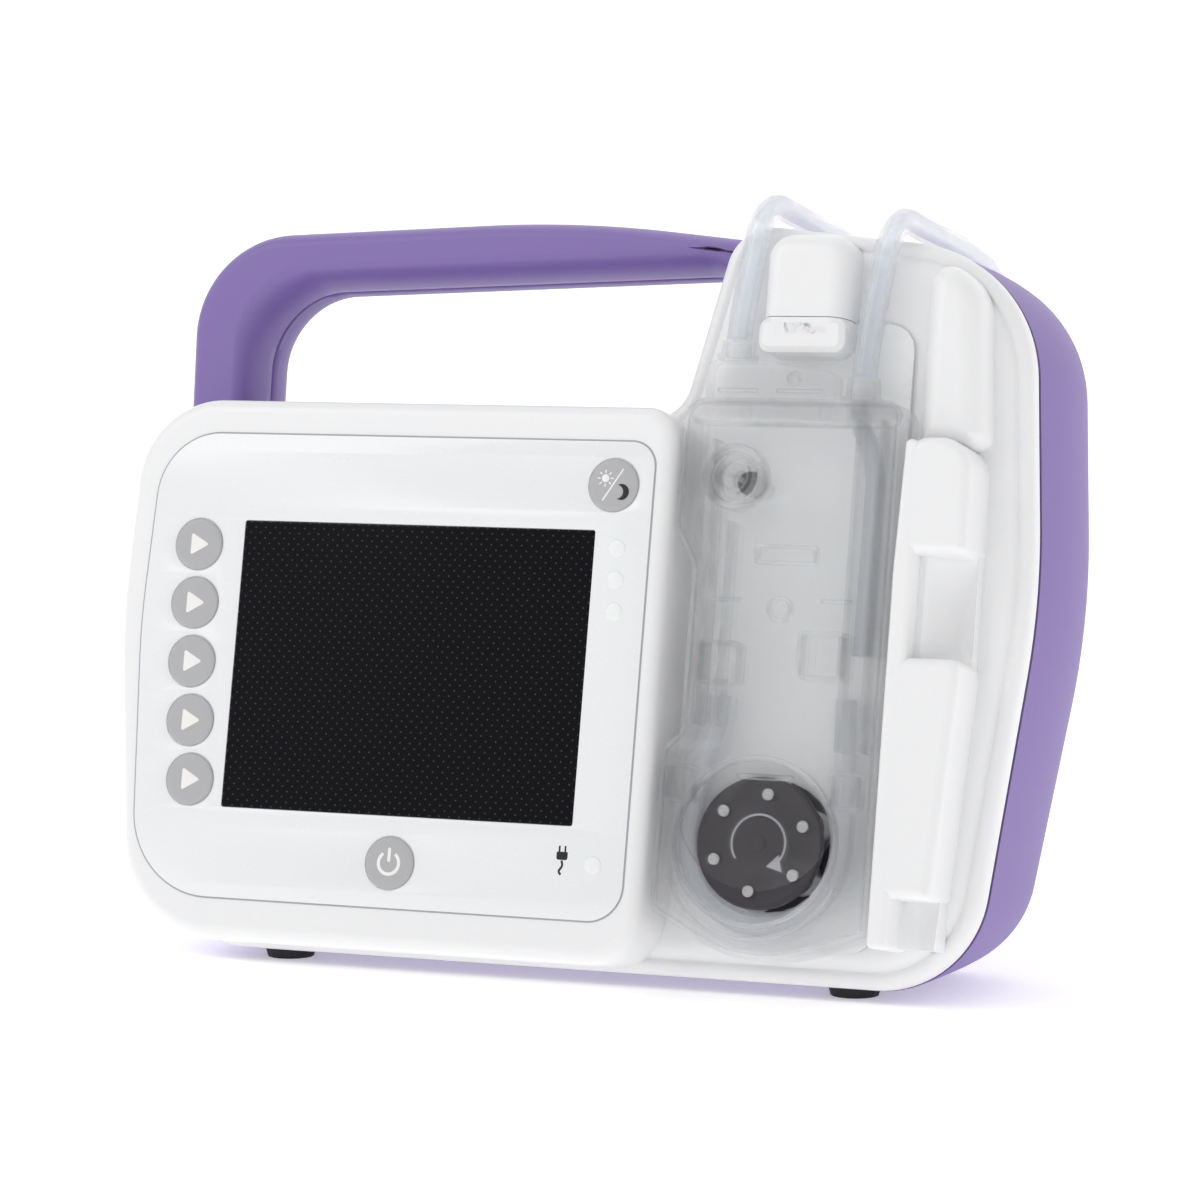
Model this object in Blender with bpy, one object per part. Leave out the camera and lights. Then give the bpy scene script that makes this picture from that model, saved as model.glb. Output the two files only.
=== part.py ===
"""Portable feeding pump with its clear cassette, as separate named pieces.

Every piece is laid out in the panel frame: X to the right, Y into the pump and Z up the front panel. The
display's face is at Y = 0, and the housing's left side and bottom are at X = 0 and Z = 0. An empty called
stance then leans the panel back and sets the feet on the ground. Lengths are in metres.
"""
import math

import bmesh
import bpy
import numpy as np
from mathutils import Vector

# ---- Driving sizes: housing ----
LEAN = math.radians(11.94)
WIDTH = 0.1788
HEIGHT = 0.1424
DEPTH = 0.060
SHOULDER_HEIGHT = 0.1049
HUMP_LEFT = 0.1070
HUMP_SIDE_LEAN = 0.0088
HUMP_TOP_FALL = 0.0060
HUMP_SHOULDER_IN = 0.0050
BOTTOM_RIGHT_IN = 0.0081
BOTTOM_LEFT_IN = 0.0070
TOP_LEFT_IN = 0.0015
RIGHT_WAIST_HEIGHT = 0.0726
LEFT_WAIST_HEIGHT = 0.0606
CORNER_RADIUS = 0.020
TOP_LEFT_RADIUS = 0.017
HUMP_FILLET = 0.0075
HUMP_TOP_RADIUS = 0.009
HUMP_SHOULDER_RADIUS = 0.027
WAIST_RADIUS = 0.150
WALL = 0.0025
SEAL_THICK = 0.0008
SEAL_WIDTH = 0.0020
PARTING_Y = 0.0213
SIDE_SWELL = 0.0026
REAR_ROUND_DEPTH = 0.016
REAR_ROUND_IN = 0.014
BASE_ROUND_DEPTH = 0.004
BASE_ROUND_IN = 0.003

# ---- Driving sizes: front relief ----
FLOOR_Y = 0.0152
SLAB_ROUND = 0.005
RIM_LEVELS = ((1.0, 0.0), (0.574, 0.0), (0.278, 0.0010), (0.055, 0.003))
DISPLAY_ROOT_LEVELS = ((0.815, 0.004), (0.296, 0.0))
DISPLAY_RIGHT = 0.1125
DISPLAY_STEP = 0.0006
DISPLAY_EDGE_ROUND = 0.0024
DISPLAY_TOP_RADIUS = 0.006
DISPLAY_CHIN_RADIUS = 0.010
PLATEAU_Y = 0.0070
PLATEAU_LEFT = 0.1250
PLATEAU_WIDTH = 0.0168
PLATEAU_BOTTOM = 0.1160
PLATEAU_TOP_MARGIN = 0.0040
SHOULDER_PLATEAU_BOTTOM = 0.0990
BAY_WIDTH = 0.0436
GRIP_Y = 0.0020
FENCE_WIDTH = 0.0036
FENCE_BOTTOM = 0.0070
GRIP_BOTTOM = 0.0161
GRIP_TOP = 0.0999
GRIP_WIDTH = 0.0136
GRIP_TAPER = 0.0026
NOTCH_BOTTOM = 0.0596
NOTCH_HEIGHT = 0.0190
NOTCH_DEPTH = 0.0090

# ---- Driving sizes: display, keys and boards ----
OVERLAY_THICK = 0.0007
OVERLAY_MARGIN_LEFT = 0.0051
OVERLAY_MARGIN_TOP = 0.0072
OVERLAY_MARGIN_BOTTOM = 0.0076
OVERLAY_MARGIN_RIGHT = 0.0028
OVERLAY_SMALL_RADIUS = 0.005
WINDOW_WIDTH = 0.072
WINDOW_HEIGHT = 0.0548
WINDOW_LEFT = 0.0265
WINDOW_TOP = 0.0806
WINDOW_BORDER = 0.002
KEY_RADIUS = 0.0049
KEY_PROUD = 0.0005
KEY_TRAVEL = 0.0006
SOFT_KEY_X = 0.0169
SOFT_KEY_TOP = 0.0758
SOFT_KEY_PITCH = 0.0113
SOFT_KEY_SWEEP = 0.00015
DAY_NIGHT_KEY_AT = (0.1016, 0.0892)
POWER_KEY_AT = (0.0625, 0.0169)
LIGHT_RADIUS = 0.0017
STATUS_LIGHT_TOP = (0.1031, 0.0774)
STATUS_LIGHT_PITCH = 0.0059
MAINS_LIGHT_AT = (0.1033, 0.0186)
LCD_THICK = 0.0040
LCD_MARGIN = 0.0015
BOARD_THICK = 0.0012
MAIN_BOARD_Y = 0.0100
BATTERY_SIZE = (0.050, 0.021, 0.044)
BATTERY_CENTRE = (0.049, 0.047)
DOOR_MARGIN = 0.004
DOOR_THICK = 0.0012
SPEAKER_RADIUS = 0.010
SPEAKER_AT = (0.034, 0.083)

# ---- Driving sizes: drive and cassette ----
ROTOR_HEIGHT = 0.0249
ROTOR_SIDE_ROOM = 0.0007
ROTOR_DISC_RADIUS = 0.0122
ROTOR_FRONT_Y = 0.0060
ROTOR_PLATE_THICK = 0.0016
ROLLER_COUNT = 6
ROLLER_CIRCLE = 0.0090
ROLLER_RADIUS = 0.0035
ROLLER_LENGTH = 0.0043
ROLLER_PIN_RADIUS = 0.0011
ROLLER_PIN_PROUD = 0.0004
FIRST_ROLLER_ANGLE = math.radians(22.0)
SHAFT_RADIUS = 0.0021
GEARBOX_RADIUS = 0.011
GEARBOX_LENGTH = 0.0128
MOTOR_RADIUS = 0.012
MOTOR_LENGTH = 0.0205
VALVE_AT = (0.1240, 0.0918)
VALVE_RADIUS = 0.0043
VALVE_DRIVE_RADIUS = 0.0022
CASSETTE_FRONT_Y = 0.0030
CASSETTE_WALL = 0.0016
CASSETTE_PLATE = 0.0020
CASSETTE_TOP = 0.1067
CASSETTE_BOTTOM = 0.0040
CASSETTE_STEP_IN = 0.0038
CASSETTE_LOWER_IN = 0.0006
CHANNEL_ROOM = 0.0009
PUMP_TUBE_RADIUS = 0.0021
PUMP_TUBE_TOP = 0.0520
COVER_DROP_RADIUS = 0.0153
COVER_RISE = 0.0064
TUBE_RADIUS = 0.0024
TUBE_Y = 0.0105
FITTING_RADIUS = 0.0034
INLET_X = 0.1202
OUTLET_X = 0.1453
MANIFOLD_HEIGHT = 0.0078
INLET_FITTING_HEIGHT = 0.0035
OUTLET_FITTING_HEIGHT = 0.0045

# ---- Driving sizes: handle, back and feet ----
HANDLE_FRONT_Y = 0.025
HANDLE_DEPTH = 0.022
HANDLE_EDGE_ROUND = 0.003
HANDLE_WALL = 0.0024
HANDLE_LEFT_OUT = 0.0042
HANDLE_CORNER_HEIGHT = 0.1418
HANDLE_CROWN = (0.078, 0.1456)
HANDLE_LEG_RIGHT = 0.0117
HANDLE_GRIP_UNDERSIDE = 0.1313
HANDLE_UNDERSIDE_RISE = 0.0043
HANDLE_OUTER_RADIUS = 0.029
HANDLE_INNER_RADIUS = 0.0165
CLAMP_PLATE_SIZE = (0.050, 0.003, 0.036)
CLAMP_PLATE_AT = (0.124, 0.068)
SOCKET_RADIUS = 0.0055
SOCKET_AT = (0.094, 0.030)
FOOT_RADIUS = 0.0050
FOOT_HEIGHT = 0.0018
FOOT_X = (0.030, 0.146)
FOOT_Y = (0.028, 0.0525)

# ---- Clearances ----
GAP = 0.0003
FIT = 0.00035
RUNNING = 0.0005

# ---- The set's two free tubes, in the world, resting on Z = 0 behind the pump ----
TUBE_STEP = 1.2
INLET_ROUTE = (
    (0.0316, -0.0080, 0.1205),
    (0.0317, -0.0072, 0.1238),
    (0.0323, -0.0056, 0.1297),
    (0.0330, -0.0036, 0.1366),
    (0.0336, -0.0016, 0.1423),
    (0.0346, 0.0034, 0.1453),
    (0.0358, 0.0110, 0.1437),
    (0.0372, 0.0204, 0.1414),
    (0.0386, 0.0311, 0.1390),
    (0.0395, 0.0395, 0.1354),
    (0.0400, 0.0449, 0.1288),
    (0.0402, 0.0467, 0.1206),
    (0.0400, 0.0485, 0.0980),
    (0.0393, 0.0500, 0.0700),
    (0.0383, 0.0508, 0.0430),
    (0.0365, 0.0515, 0.0210),
    (0.0335, 0.0530, 0.0080),
    (0.0270, 0.0556, 0.0029),
    (0.0160, 0.0566, 0.0027),
    (0.0015, 0.0567, 0.0027),
)
OUTLET_ROUTE = (
    (0.0567, -0.0094, 0.1139),
    (0.0568, -0.0086, 0.1175),
    (0.0574, -0.0067, 0.1248),
    (0.0582, -0.0046, 0.1322),
    (0.0591, -0.0030, 0.1385),
    (0.0603, 0.0018, 0.1427),
    (0.0616, 0.0098, 0.1410),
    (0.0632, 0.0192, 0.1388),
    (0.0647, 0.0300, 0.1366),
    (0.0658, 0.0384, 0.1329),
    (0.0662, 0.0441, 0.1250),
    (0.0664, 0.0461, 0.1167),
    (0.0655, 0.0480, 0.0950),
    (0.0635, 0.0495, 0.0660),
    (0.0605, 0.0510, 0.0400),
    (0.0560, 0.0520, 0.0200),
    (0.0500, 0.0518, 0.0085),
    (0.0420, 0.0500, 0.0030),
    (0.0300, 0.0475, 0.0027),
    (0.0100, 0.0460, 0.0027),
    (-0.0150, 0.0460, 0.0027),
    (-0.0380, 0.0475, 0.0027),
    (-0.0540, 0.0505, 0.0027),
    (-0.0610, 0.0515, 0.0027),
    (-0.0672, 0.0517, 0.0027),
)
INLET_COIL_AT = (-0.0170, 0.0855)
INLET_COIL_MIDDLE = 0.0240
OUTLET_COIL_AT = (-0.0860, 0.0825)
OUTLET_COIL_MIDDLE = 0.0260
COIL_HALF_WIDTH = 0.0072
LAYER_RISE = 0.00425
INLET_TAIL = ((-0.0100, -0.0094, 0.0027), (-0.0095, -0.0076, 0.0035), (-0.0089, -0.0059, 0.0042),
              (-0.0085, -0.0047, 0.0043))
INLET_CONNECTOR_HEADING = (0.342, 0.940)
OUTLET_TAIL = ((-0.0162, -0.0074, 0.0088), (-0.0149, -0.0044, 0.0070), (-0.0124, -0.0014, 0.0048),
               (-0.0100, 0.0009, 0.0043))
OUTLET_CONNECTOR_HEADING = (0.707, 0.707)
CONNECTOR_RADIUS = 0.0040
CONNECTOR_PROFILE = ((0.0, 0.0029), (0.0040, 0.0029), (0.0045, 0.0040), (0.0135, 0.0040), (0.0180, 0.0031))

FRONT_BACK_Y = PARTING_Y - SEAL_THICK / 2 - GAP
REAR_START_Y = PARTING_Y + SEAL_THICK / 2 + GAP
BAY_RIGHT = DISPLAY_RIGHT + BAY_WIDTH
FACE_WALL_BACK = OVERLAY_THICK + 0.0020
FLANGE_Y = FACE_WALL_BACK + GAP
FLOOR_BACK_Y = FLOOR_Y + WALL
PLATE_THICK = 0.0007
PLATE_Y = FLOOR_Y - GAP - PLATE_THICK
ROLLER_Y = ROTOR_FRONT_Y + ROTOR_PLATE_THICK + GAP
ROLLER_BACK_Y = ROLLER_Y + ROLLER_LENGTH
FLANGE_FRONT_Y = ROLLER_BACK_Y + GAP
ROTOR_REACH = ROLLER_CIRCLE + ROLLER_RADIUS
PUMP_TUBE_CIRCLE = ROTOR_REACH + GAP + PUMP_TUBE_RADIUS
CASSETTE_LEFT = DISPLAY_RIGHT + 2 * GAP
CASSETTE_RIGHT = BAY_RIGHT - 2 * GAP
CASSETTE_LOWER_LEFT = CASSETTE_LEFT + CASSETTE_LOWER_IN
TUBE_SIDE = CASSETTE_WALL + PUMP_TUBE_RADIUS
ROTOR_AT = (CASSETTE_LOWER_LEFT + TUBE_SIDE + ROTOR_SIDE_ROOM + PUMP_TUBE_CIRCLE, ROTOR_HEIGHT)
FAR = 0.03


# ---- Materials ----
def material(name, colour, roughness, metallic=0.0, alpha=1.0):
    """A Principled material from a linear colour."""
    made = bpy.data.materials.new(name)
    made.use_nodes = True
    shader = made.node_tree.nodes["Principled BSDF"]
    shader.inputs["Base Color"].default_value = (*colour, 1.0)
    shader.inputs["Roughness"].default_value = roughness
    shader.inputs["Metallic"].default_value = metallic
    shader.inputs["Alpha"].default_value = alpha
    made.diffuse_color = (*colour, alpha)
    return made


# ---- Outlines ----
def rounded(corners, inset=0.0, steps=4):
    """Points (x, z) of a polygon with rounded corners, moved inwards by inset. Corners run anticlockwise."""
    points = [Vector((corner[0], corner[1])) for corner in corners]
    count = len(points)
    directions = [(points[(i + 1) % count] - points[i]).normalized() for i in range(count)]
    normals = [Vector((-d.y, d.x)) for d in directions]
    moved = []
    for i in range(count):
        before, after = normals[i - 1], normals[i]
        moved.append(points[i] + (before + after) * (inset / (1.0 + before.dot(after))))
    outline = []
    for i in range(count):
        into, out = directions[i - 1], directions[i]
        turn = math.atan2(into.x * out.y - into.y * out.x, into.dot(out))
        tangent = math.tan(abs(turn) / 2.0)
        room = 0.49 * min((moved[i] - moved[i - 1]).length, (moved[(i + 1) % count] - moved[i]).length)
        radius = corners[i][2] - math.copysign(inset, turn)
        radius = max(0.0003, min(radius, room / tangent))
        sideways = Vector((-into.y, into.x)) * math.copysign(radius, turn)
        centre = moved[i] - into * radius * tangent + sideways
        start = moved[i] - into * radius * tangent - centre
        for step in range(steps + 1):
            angle = turn * step / steps
            spin = Vector((start.x * math.cos(angle) - start.y * math.sin(angle),
                           start.x * math.sin(angle) + start.y * math.cos(angle)))
            outline.append(tuple(centre + spin))
    return outline


def ring(corners, y, inset=0.0, steps=4):
    """A rounded outline as points in space at depth y."""
    return [Vector((x, y, z)) for x, z in rounded(corners, inset, steps)]


def box_corners(left, bottom, right, top, radius):
    """Corners of an upright rectangle."""
    return ((left, bottom, radius), (right, bottom, radius), (right, top, radius), (left, top, radius))


def rear_inset(y):
    """How far the rear shell has rounded in at depth y: a quarter ellipse that ends at the back face."""
    reach = max(0.0, (y - (DEPTH - REAR_ROUND_DEPTH)) / REAR_ROUND_DEPTH)
    return REAR_ROUND_IN * (1.0 - math.sqrt(max(0.0, 1.0 - reach * reach)))


def base_inset(y):
    """How far the rear shell's underside has rounded up at depth y."""
    reach = max(0.0, (y - (DEPTH - BASE_ROUND_DEPTH)) / BASE_ROUND_DEPTH)
    return BASE_ROUND_IN * (1.0 - math.sqrt(max(0.0, 1.0 - reach * reach)))


def housing_corners(y=0.0):
    """Corners of the housing at depth y: behind the parting line the sides swell and the floor is level."""
    behind = max(0.0, y - REAR_START_Y)
    swell = SIDE_SWELL * math.sin(math.pi * behind / (DEPTH - REAR_START_Y))
    floor = behind * math.tan(LEAN) - rear_inset(y) + base_inset(y)
    return (
        (BOTTOM_LEFT_IN - swell / 4, floor, CORNER_RADIUS),
        (WIDTH - BOTTOM_RIGHT_IN + swell / 4, floor, CORNER_RADIUS),
        (WIDTH + swell, RIGHT_WAIST_HEIGHT, WAIST_RADIUS),
        (WIDTH - HUMP_SHOULDER_IN + swell, HEIGHT - HUMP_TOP_FALL, HUMP_SHOULDER_RADIUS),
        (HUMP_LEFT + HUMP_SIDE_LEAN, HEIGHT, HUMP_TOP_RADIUS),
        (HUMP_LEFT, SHOULDER_HEIGHT, HUMP_FILLET),
        (TOP_LEFT_IN - swell, SHOULDER_HEIGHT, TOP_LEFT_RADIUS),
        (-swell, LEFT_WAIST_HEIGHT, WAIST_RADIUS),
    )


def display_corners():
    """Corners of the raised display block, a step inside the housing's left part."""
    top = SHOULDER_HEIGHT - DISPLAY_STEP
    return (
        (BOTTOM_LEFT_IN + DISPLAY_STEP, DISPLAY_STEP, CORNER_RADIUS),
        (DISPLAY_RIGHT, DISPLAY_STEP, DISPLAY_CHIN_RADIUS),
        (DISPLAY_RIGHT, top, DISPLAY_TOP_RADIUS),
        (TOP_LEFT_IN + DISPLAY_STEP, top, TOP_LEFT_RADIUS),
        (DISPLAY_STEP, LEFT_WAIST_HEIGHT, WAIST_RADIUS),
    )


def overlay_corners():
    """Corners of the front sheet, a margin inside the display block on each side."""
    right = DISPLAY_RIGHT - OVERLAY_MARGIN_RIGHT
    top = SHOULDER_HEIGHT - OVERLAY_MARGIN_TOP
    return (
        (OVERLAY_MARGIN_LEFT + 0.0041, OVERLAY_MARGIN_BOTTOM, 0.017),
        (right, OVERLAY_MARGIN_BOTTOM, OVERLAY_SMALL_RADIUS),
        (right, top, OVERLAY_SMALL_RADIUS),
        (OVERLAY_MARGIN_LEFT + 0.0010, top, 0.0155),
        (OVERLAY_MARGIN_LEFT, LEFT_WAIST_HEIGHT + 0.002, WAIST_RADIUS),
    )


def handle_corners():
    """Corners of the carrying handle's bar: left leg, grip and the flare into the hump."""
    hump_side = HUMP_LEFT + HUMP_SIDE_LEAN
    underside_end = HANDLE_GRIP_UNDERSIDE + HANDLE_UNDERSIDE_RISE
    root = SHOULDER_HEIGHT - 2 * WALL
    return (
        (-HANDLE_LEFT_OUT + 0.0020, root, 0.0005),
        (HANDLE_LEG_RIGHT, root, 0.0005),
        (HANDLE_LEG_RIGHT - 0.0008, HANDLE_GRIP_UNDERSIDE, HANDLE_INNER_RADIUS),
        (hump_side - 0.0053, underside_end, 0.007),
        (hump_side - 0.0005, underside_end - 0.012, 0.0005),
        (hump_side + 0.006, underside_end - 0.012, 0.0005),
        (hump_side + 0.006, HEIGHT - 0.0015, 0.0005),
        (HANDLE_CROWN[0], HANDLE_CROWN[1], 0.250),
        (-HANDLE_LEFT_OUT, HANDLE_CORNER_HEIGHT, HANDLE_OUTER_RADIUS),
    )


def cassette_corners():
    """Corners of the clear cassette: lobe for the valve, narrow waist and the wide part round the rotor."""
    left = CASSETTE_LEFT
    right = CASSETTE_RIGHT
    waist = left + CASSETTE_STEP_IN
    waist_bottom = ROTOR_AT[1] + 0.0195
    return (
        (CASSETTE_LOWER_LEFT, CASSETTE_BOTTOM + 0.0075, 0.002),
        (ROTOR_AT[0] + 0.0005, CASSETTE_BOTTOM - 0.0028, 0.030),
        (right, CASSETTE_BOTTOM + 0.0050, 0.002),
        (right, CASSETTE_TOP, 0.003),
        (left, CASSETTE_TOP, 0.0045),
        (left, VALVE_AT[1] - 0.0098, 0.003),
        (waist, VALVE_AT[1] - 0.0168, 0.003),
        (waist, waist_bottom, 0.002),
        (CASSETTE_LOWER_LEFT, waist_bottom - 0.003, 0.002),
    )


# ---- Solids ----
def add_object(name, mesh_data, finish, origin, parent):
    """Puts a finished bmesh into the scene as an object whose origin is at a point of the panel frame."""
    bmesh.ops.translate(mesh_data, verts=mesh_data.verts, vec=-Vector(origin))
    bmesh.ops.recalc_face_normals(mesh_data, faces=mesh_data.faces)
    mesh = bpy.data.meshes.new(name)
    mesh_data.to_mesh(mesh)
    mesh_data.free()
    made = bpy.data.objects.new(name, mesh)
    bpy.context.collection.objects.link(made)
    mesh.shade_smooth()
    mesh.set_sharp_from_angle(angle=math.radians(35))
    if finish is None:
        made.hide_render = True
        made.display_type = 'WIRE'
    else:
        mesh.materials.append(finish)
    made.location = origin
    made.parent = parent
    return made


def skin(rings, closed=False):
    """A closed bmesh through rings of equally many points; closed joins the last ring to the first."""
    made = bmesh.new()
    loops = [[made.verts.new(point) for point in points] for points in rings]
    pairs = list(zip(loops, loops[1:]))
    if closed:
        pairs.append((loops[-1], loops[0]))
    for one, two in pairs:
        for i in range(len(one)):
            j = (i + 1) % len(one)
            made.faces.new((one[i], one[j], two[j], two[i]))
    if not closed:
        made.faces.new(loops[0])
        made.faces.new(loops[-1])
    return made


def loft(name, rings, finish, parent, origin=(0.0, 0.0, 0.0)):
    """A solid through rings, capped at both ends."""
    return add_object(name, skin(rings), finish, origin, parent)


def slab(name, corners, front, back, finish, parent, inset=0.0, edge=0.0, origin=(0.0, 0.0, 0.0)):
    """A plate with a rounded outline from depth front to depth back, its front edge chamfered by edge."""
    rings = [ring(corners, back, inset), ring(corners, front + edge, inset)]
    if edge:
        rings.append(ring(corners, front, inset + edge))
    return loft(name, rings, finish, parent, origin)


def circle(at, radius, y, sides, start=0.0):
    """Points of a circle round an axis along Y through (x, z)."""
    angles = [start + 2 * math.pi * i / sides for i in range(sides)]
    return [Vector((at[0] + radius * math.cos(a), y, at[1] + radius * math.sin(a))) for a in angles]


def turned(name, at, profile, finish, parent, sides=20, hollow=False):
    """A turned piece about a Y axis through (x, z); profile lists (radius, y). hollow joins its two ends."""
    rings = [circle(at, radius, y, sides) for radius, y in profile]
    return add_object(name, skin(rings, closed=hollow), finish, (at[0], 0.0, at[1]), parent)


def block(name, low, high, finish, parent, bevel=0.0):
    """A box between two corners, with its edges bevelled."""
    made = bmesh.new()
    bmesh.ops.create_cube(made, size=1.0)
    size = Vector(high) - Vector(low)
    centre = (Vector(high) + Vector(low)) / 2
    for vert in made.verts:
        vert.co = Vector((vert.co.x * size.x, vert.co.y * size.y, vert.co.z * size.z)) + centre
    if bevel:
        bmesh.ops.bevel(made, geom=made.edges, offset=bevel, segments=1, affect='EDGES')
    return add_object(name, made, finish, tuple(centre), parent)


def drill(name, holes, front, back, parent, sides=20):
    """One cutter holding a round plug for each (x, z, radius)."""
    made = bmesh.new()
    for x, z, radius in holes:
        rings = [circle((x, z), radius, y, sides, math.pi / sides) for y in (front, back)]
        loops = [[made.verts.new(point) for point in points] for points in rings]
        for i in range(sides):
            j = (i + 1) % sides
            made.faces.new((loops[0][i], loops[0][j], loops[1][j], loops[1][i]))
        made.faces.new(loops[0])
        made.faces.new(loops[1])
    return add_object(name, made, None, (0.0, 0.0, 0.0), parent)


def combine(target, operation, *others):
    """Adds one exact Boolean for each other object."""
    for other in others:
        modifier = target.modifiers.new(other.name, 'BOOLEAN')
        modifier.operation = operation
        modifier.object = other
    return target


def spun(at, radius, angle):
    """Point (x, z) at an angle on a circle round (x, z)."""
    return (at[0] + radius * math.cos(angle), at[1] + radius * math.sin(angle))


# ---- Places that several pieces share ----
def soft_key_places():
    """Centres of the round keys left of the screen: they follow the housing's bulging side."""
    places = []
    for number in range(5):
        places.append((SOFT_KEY_X + SOFT_KEY_SWEEP * number ** 2, SOFT_KEY_TOP - SOFT_KEY_PITCH * number))
    return places


def light_places():
    """Centres of the light lenses."""
    places = []
    for number in range(3):
        places.append((STATUS_LIGHT_TOP[0] + 0.0002 * number,
                       STATUS_LIGHT_TOP[1] - STATUS_LIGHT_PITCH * number))
    places.append(MAINS_LIGHT_AT)
    return places


def roller_places():
    """Centres of the rollers, evenly spaced round the rotor."""
    step = 2 * math.pi / ROLLER_COUNT
    return [spun(ROTOR_AT, ROLLER_CIRCLE, FIRST_ROLLER_ANGLE + step * n) for n in range(ROLLER_COUNT)]


def key_places():
    """Centres of all the keys."""
    return soft_key_places() + [DAY_NIGHT_KEY_AT, POWER_KEY_AT]


# ---- Housing ----
def make_front_shell(finish, parent):
    """White front half: slab, display block, hump plateaus and grip fence, hollowed from behind."""
    outline = housing_corners()
    flank = FRONT_BACK_Y - FLOOR_Y
    rings = [ring(outline, FLOOR_Y + share * flank, inset) for share, inset in RIM_LEVELS]
    rings.append(ring(outline, FLOOR_Y, SLAB_ROUND))
    shell = loft("front_shell", rings, finish, parent)

    display = display_corners()
    edge = DISPLAY_EDGE_ROUND
    steps = ((edge * 1.6, 0.0), (edge * 0.8, 0.1), (edge * 0.35, 0.35), (edge * 0.1, 0.65), (0.0, 1.0))
    rings = [ring(display, FLOOR_Y + share * flank, inset) for share, inset in DISPLAY_ROOT_LEVELS]
    rings += [ring(display, y, edge * share) for y, share in steps]
    display_guide = loft("display_guide", rings, None, parent)

    right = PLATEAU_LEFT + PLATEAU_WIDTH
    centre = box_corners(PLATEAU_LEFT, PLATEAU_BOTTOM + 0.0069, right, HEIGHT - PLATEAU_TOP_MARGIN, 0.002)
    centre_guide = slab("centre_plateau_guide", centre, PLATEAU_Y, FLOOR_Y + 0.001, None, parent,
                        edge=0.001)
    shoulder = (
        (BAY_RIGHT + 2 * GAP, SHOULDER_PLATEAU_BOTTOM, 0.001),
        (WIDTH - 0.0100, SHOULDER_PLATEAU_BOTTOM, 0.003),
        (WIDTH - 0.0125, HEIGHT - 0.0135, 0.018),
        (BAY_RIGHT + 2 * GAP, HEIGHT - 0.0075, 0.003),
    )
    shoulder_guide = slab("shoulder_plateau_guide", shoulder, PLATEAU_Y, FLOOR_Y + 0.001, None, parent,
                          edge=0.001)

    fence_right = BAY_RIGHT + FENCE_WIDTH
    grip_right = BAY_RIGHT + GRIP_WIDTH
    grip = (
        (BAY_RIGHT, FENCE_BOTTOM, 0.001),
        (fence_right, FENCE_BOTTOM, 0.001),
        (fence_right, GRIP_BOTTOM, 0.0005),
        (grip_right - GRIP_TAPER, GRIP_BOTTOM, 0.001),
        (grip_right, NOTCH_BOTTOM - FENCE_WIDTH, 0.050),
        (grip_right - 0.0005, GRIP_TOP, 0.008),
        (BAY_RIGHT + 0.0008, GRIP_TOP, 0.004),
        (BAY_RIGHT, GRIP_TOP - 0.024, 0.030),
    )
    grip_guide = slab("grip_guide", grip, GRIP_Y, FLOOR_Y + 0.001, None, parent, edge=0.0008)
    combine(shell, 'UNION', display_guide, centre_guide, shoulder_guide, grip_guide)

    display_hollow = slab("display_hollow", display, FACE_WALL_BACK, FAR, None, parent, inset=WALL)
    slab_hollow = slab("slab_hollow", outline, FLOOR_BACK_Y, FAR, None, parent, inset=WALL)
    notch = block("notch_cutter", (fence_right, -FAR, NOTCH_BOTTOM),
                  (WIDTH - 0.0070, GRIP_Y + NOTCH_DEPTH, NOTCH_BOTTOM + NOTCH_HEIGHT), None, parent)
    pocket = slab("overlay_pocket", overlay_corners(), -FAR, OVERLAY_THICK + GAP, None, parent, inset=-GAP)
    window = block("window_cutter", (WINDOW_LEFT + WINDOW_BORDER, -FAR,
                                     WINDOW_TOP - WINDOW_HEIGHT + WINDOW_BORDER),
                   (WINDOW_LEFT + WINDOW_WIDTH - WINDOW_BORDER, 0.006, WINDOW_TOP - WINDOW_BORDER), None,
                   parent)
    holes = [(x, z, KEY_RADIUS + FIT) for x, z in key_places()]
    holes += [(x, z, LIGHT_RADIUS + FIT) for x, z in light_places()]
    key_holes = drill("key_hole_cutters", holes, -FAR, 0.006, parent, sides=16)
    drive_holes = drill("drive_hole_cutters", [(*ROTOR_AT, SHAFT_RADIUS + 0.003 + 2 * GAP),
                                               (*VALVE_AT, VALVE_DRIVE_RADIUS + RUNNING)], 0.010, FAR,
                                               parent)
    combine(shell, 'DIFFERENCE', display_hollow, slab_hollow, notch, pocket, window, key_holes, drive_holes)


def make_rear_body(name, grow, finish, parent):
    """The rear shell's outer form, grown by a clearance."""
    depths = (REAR_START_Y - grow, 0.029, 0.036, 0.044, 0.049, 0.053, 0.0565, 0.059, DEPTH + grow)
    rings = [ring(housing_corners(y), y, rear_inset(y) - grow) for y in depths]
    return loft(name, rings, finish, parent)


def handle_half(name, start, end, round_start, inset, edge, finish, parent):
    """Half of the handle's bar between two depths, rounded along its free edge."""
    corners = handle_corners()
    middle, free = (end, start) if round_start else (start, end)
    way = math.copysign(1.0, middle - free)
    rings = [ring(corners, middle, inset)]
    for share_y, share_in in ((1.0, 0.0), (0.3, 0.3), (0.0, 1.0)):
        rings.append(ring(corners, free + way * edge * share_y, inset + edge * share_in))
    return loft(name, rings, finish, parent)


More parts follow.
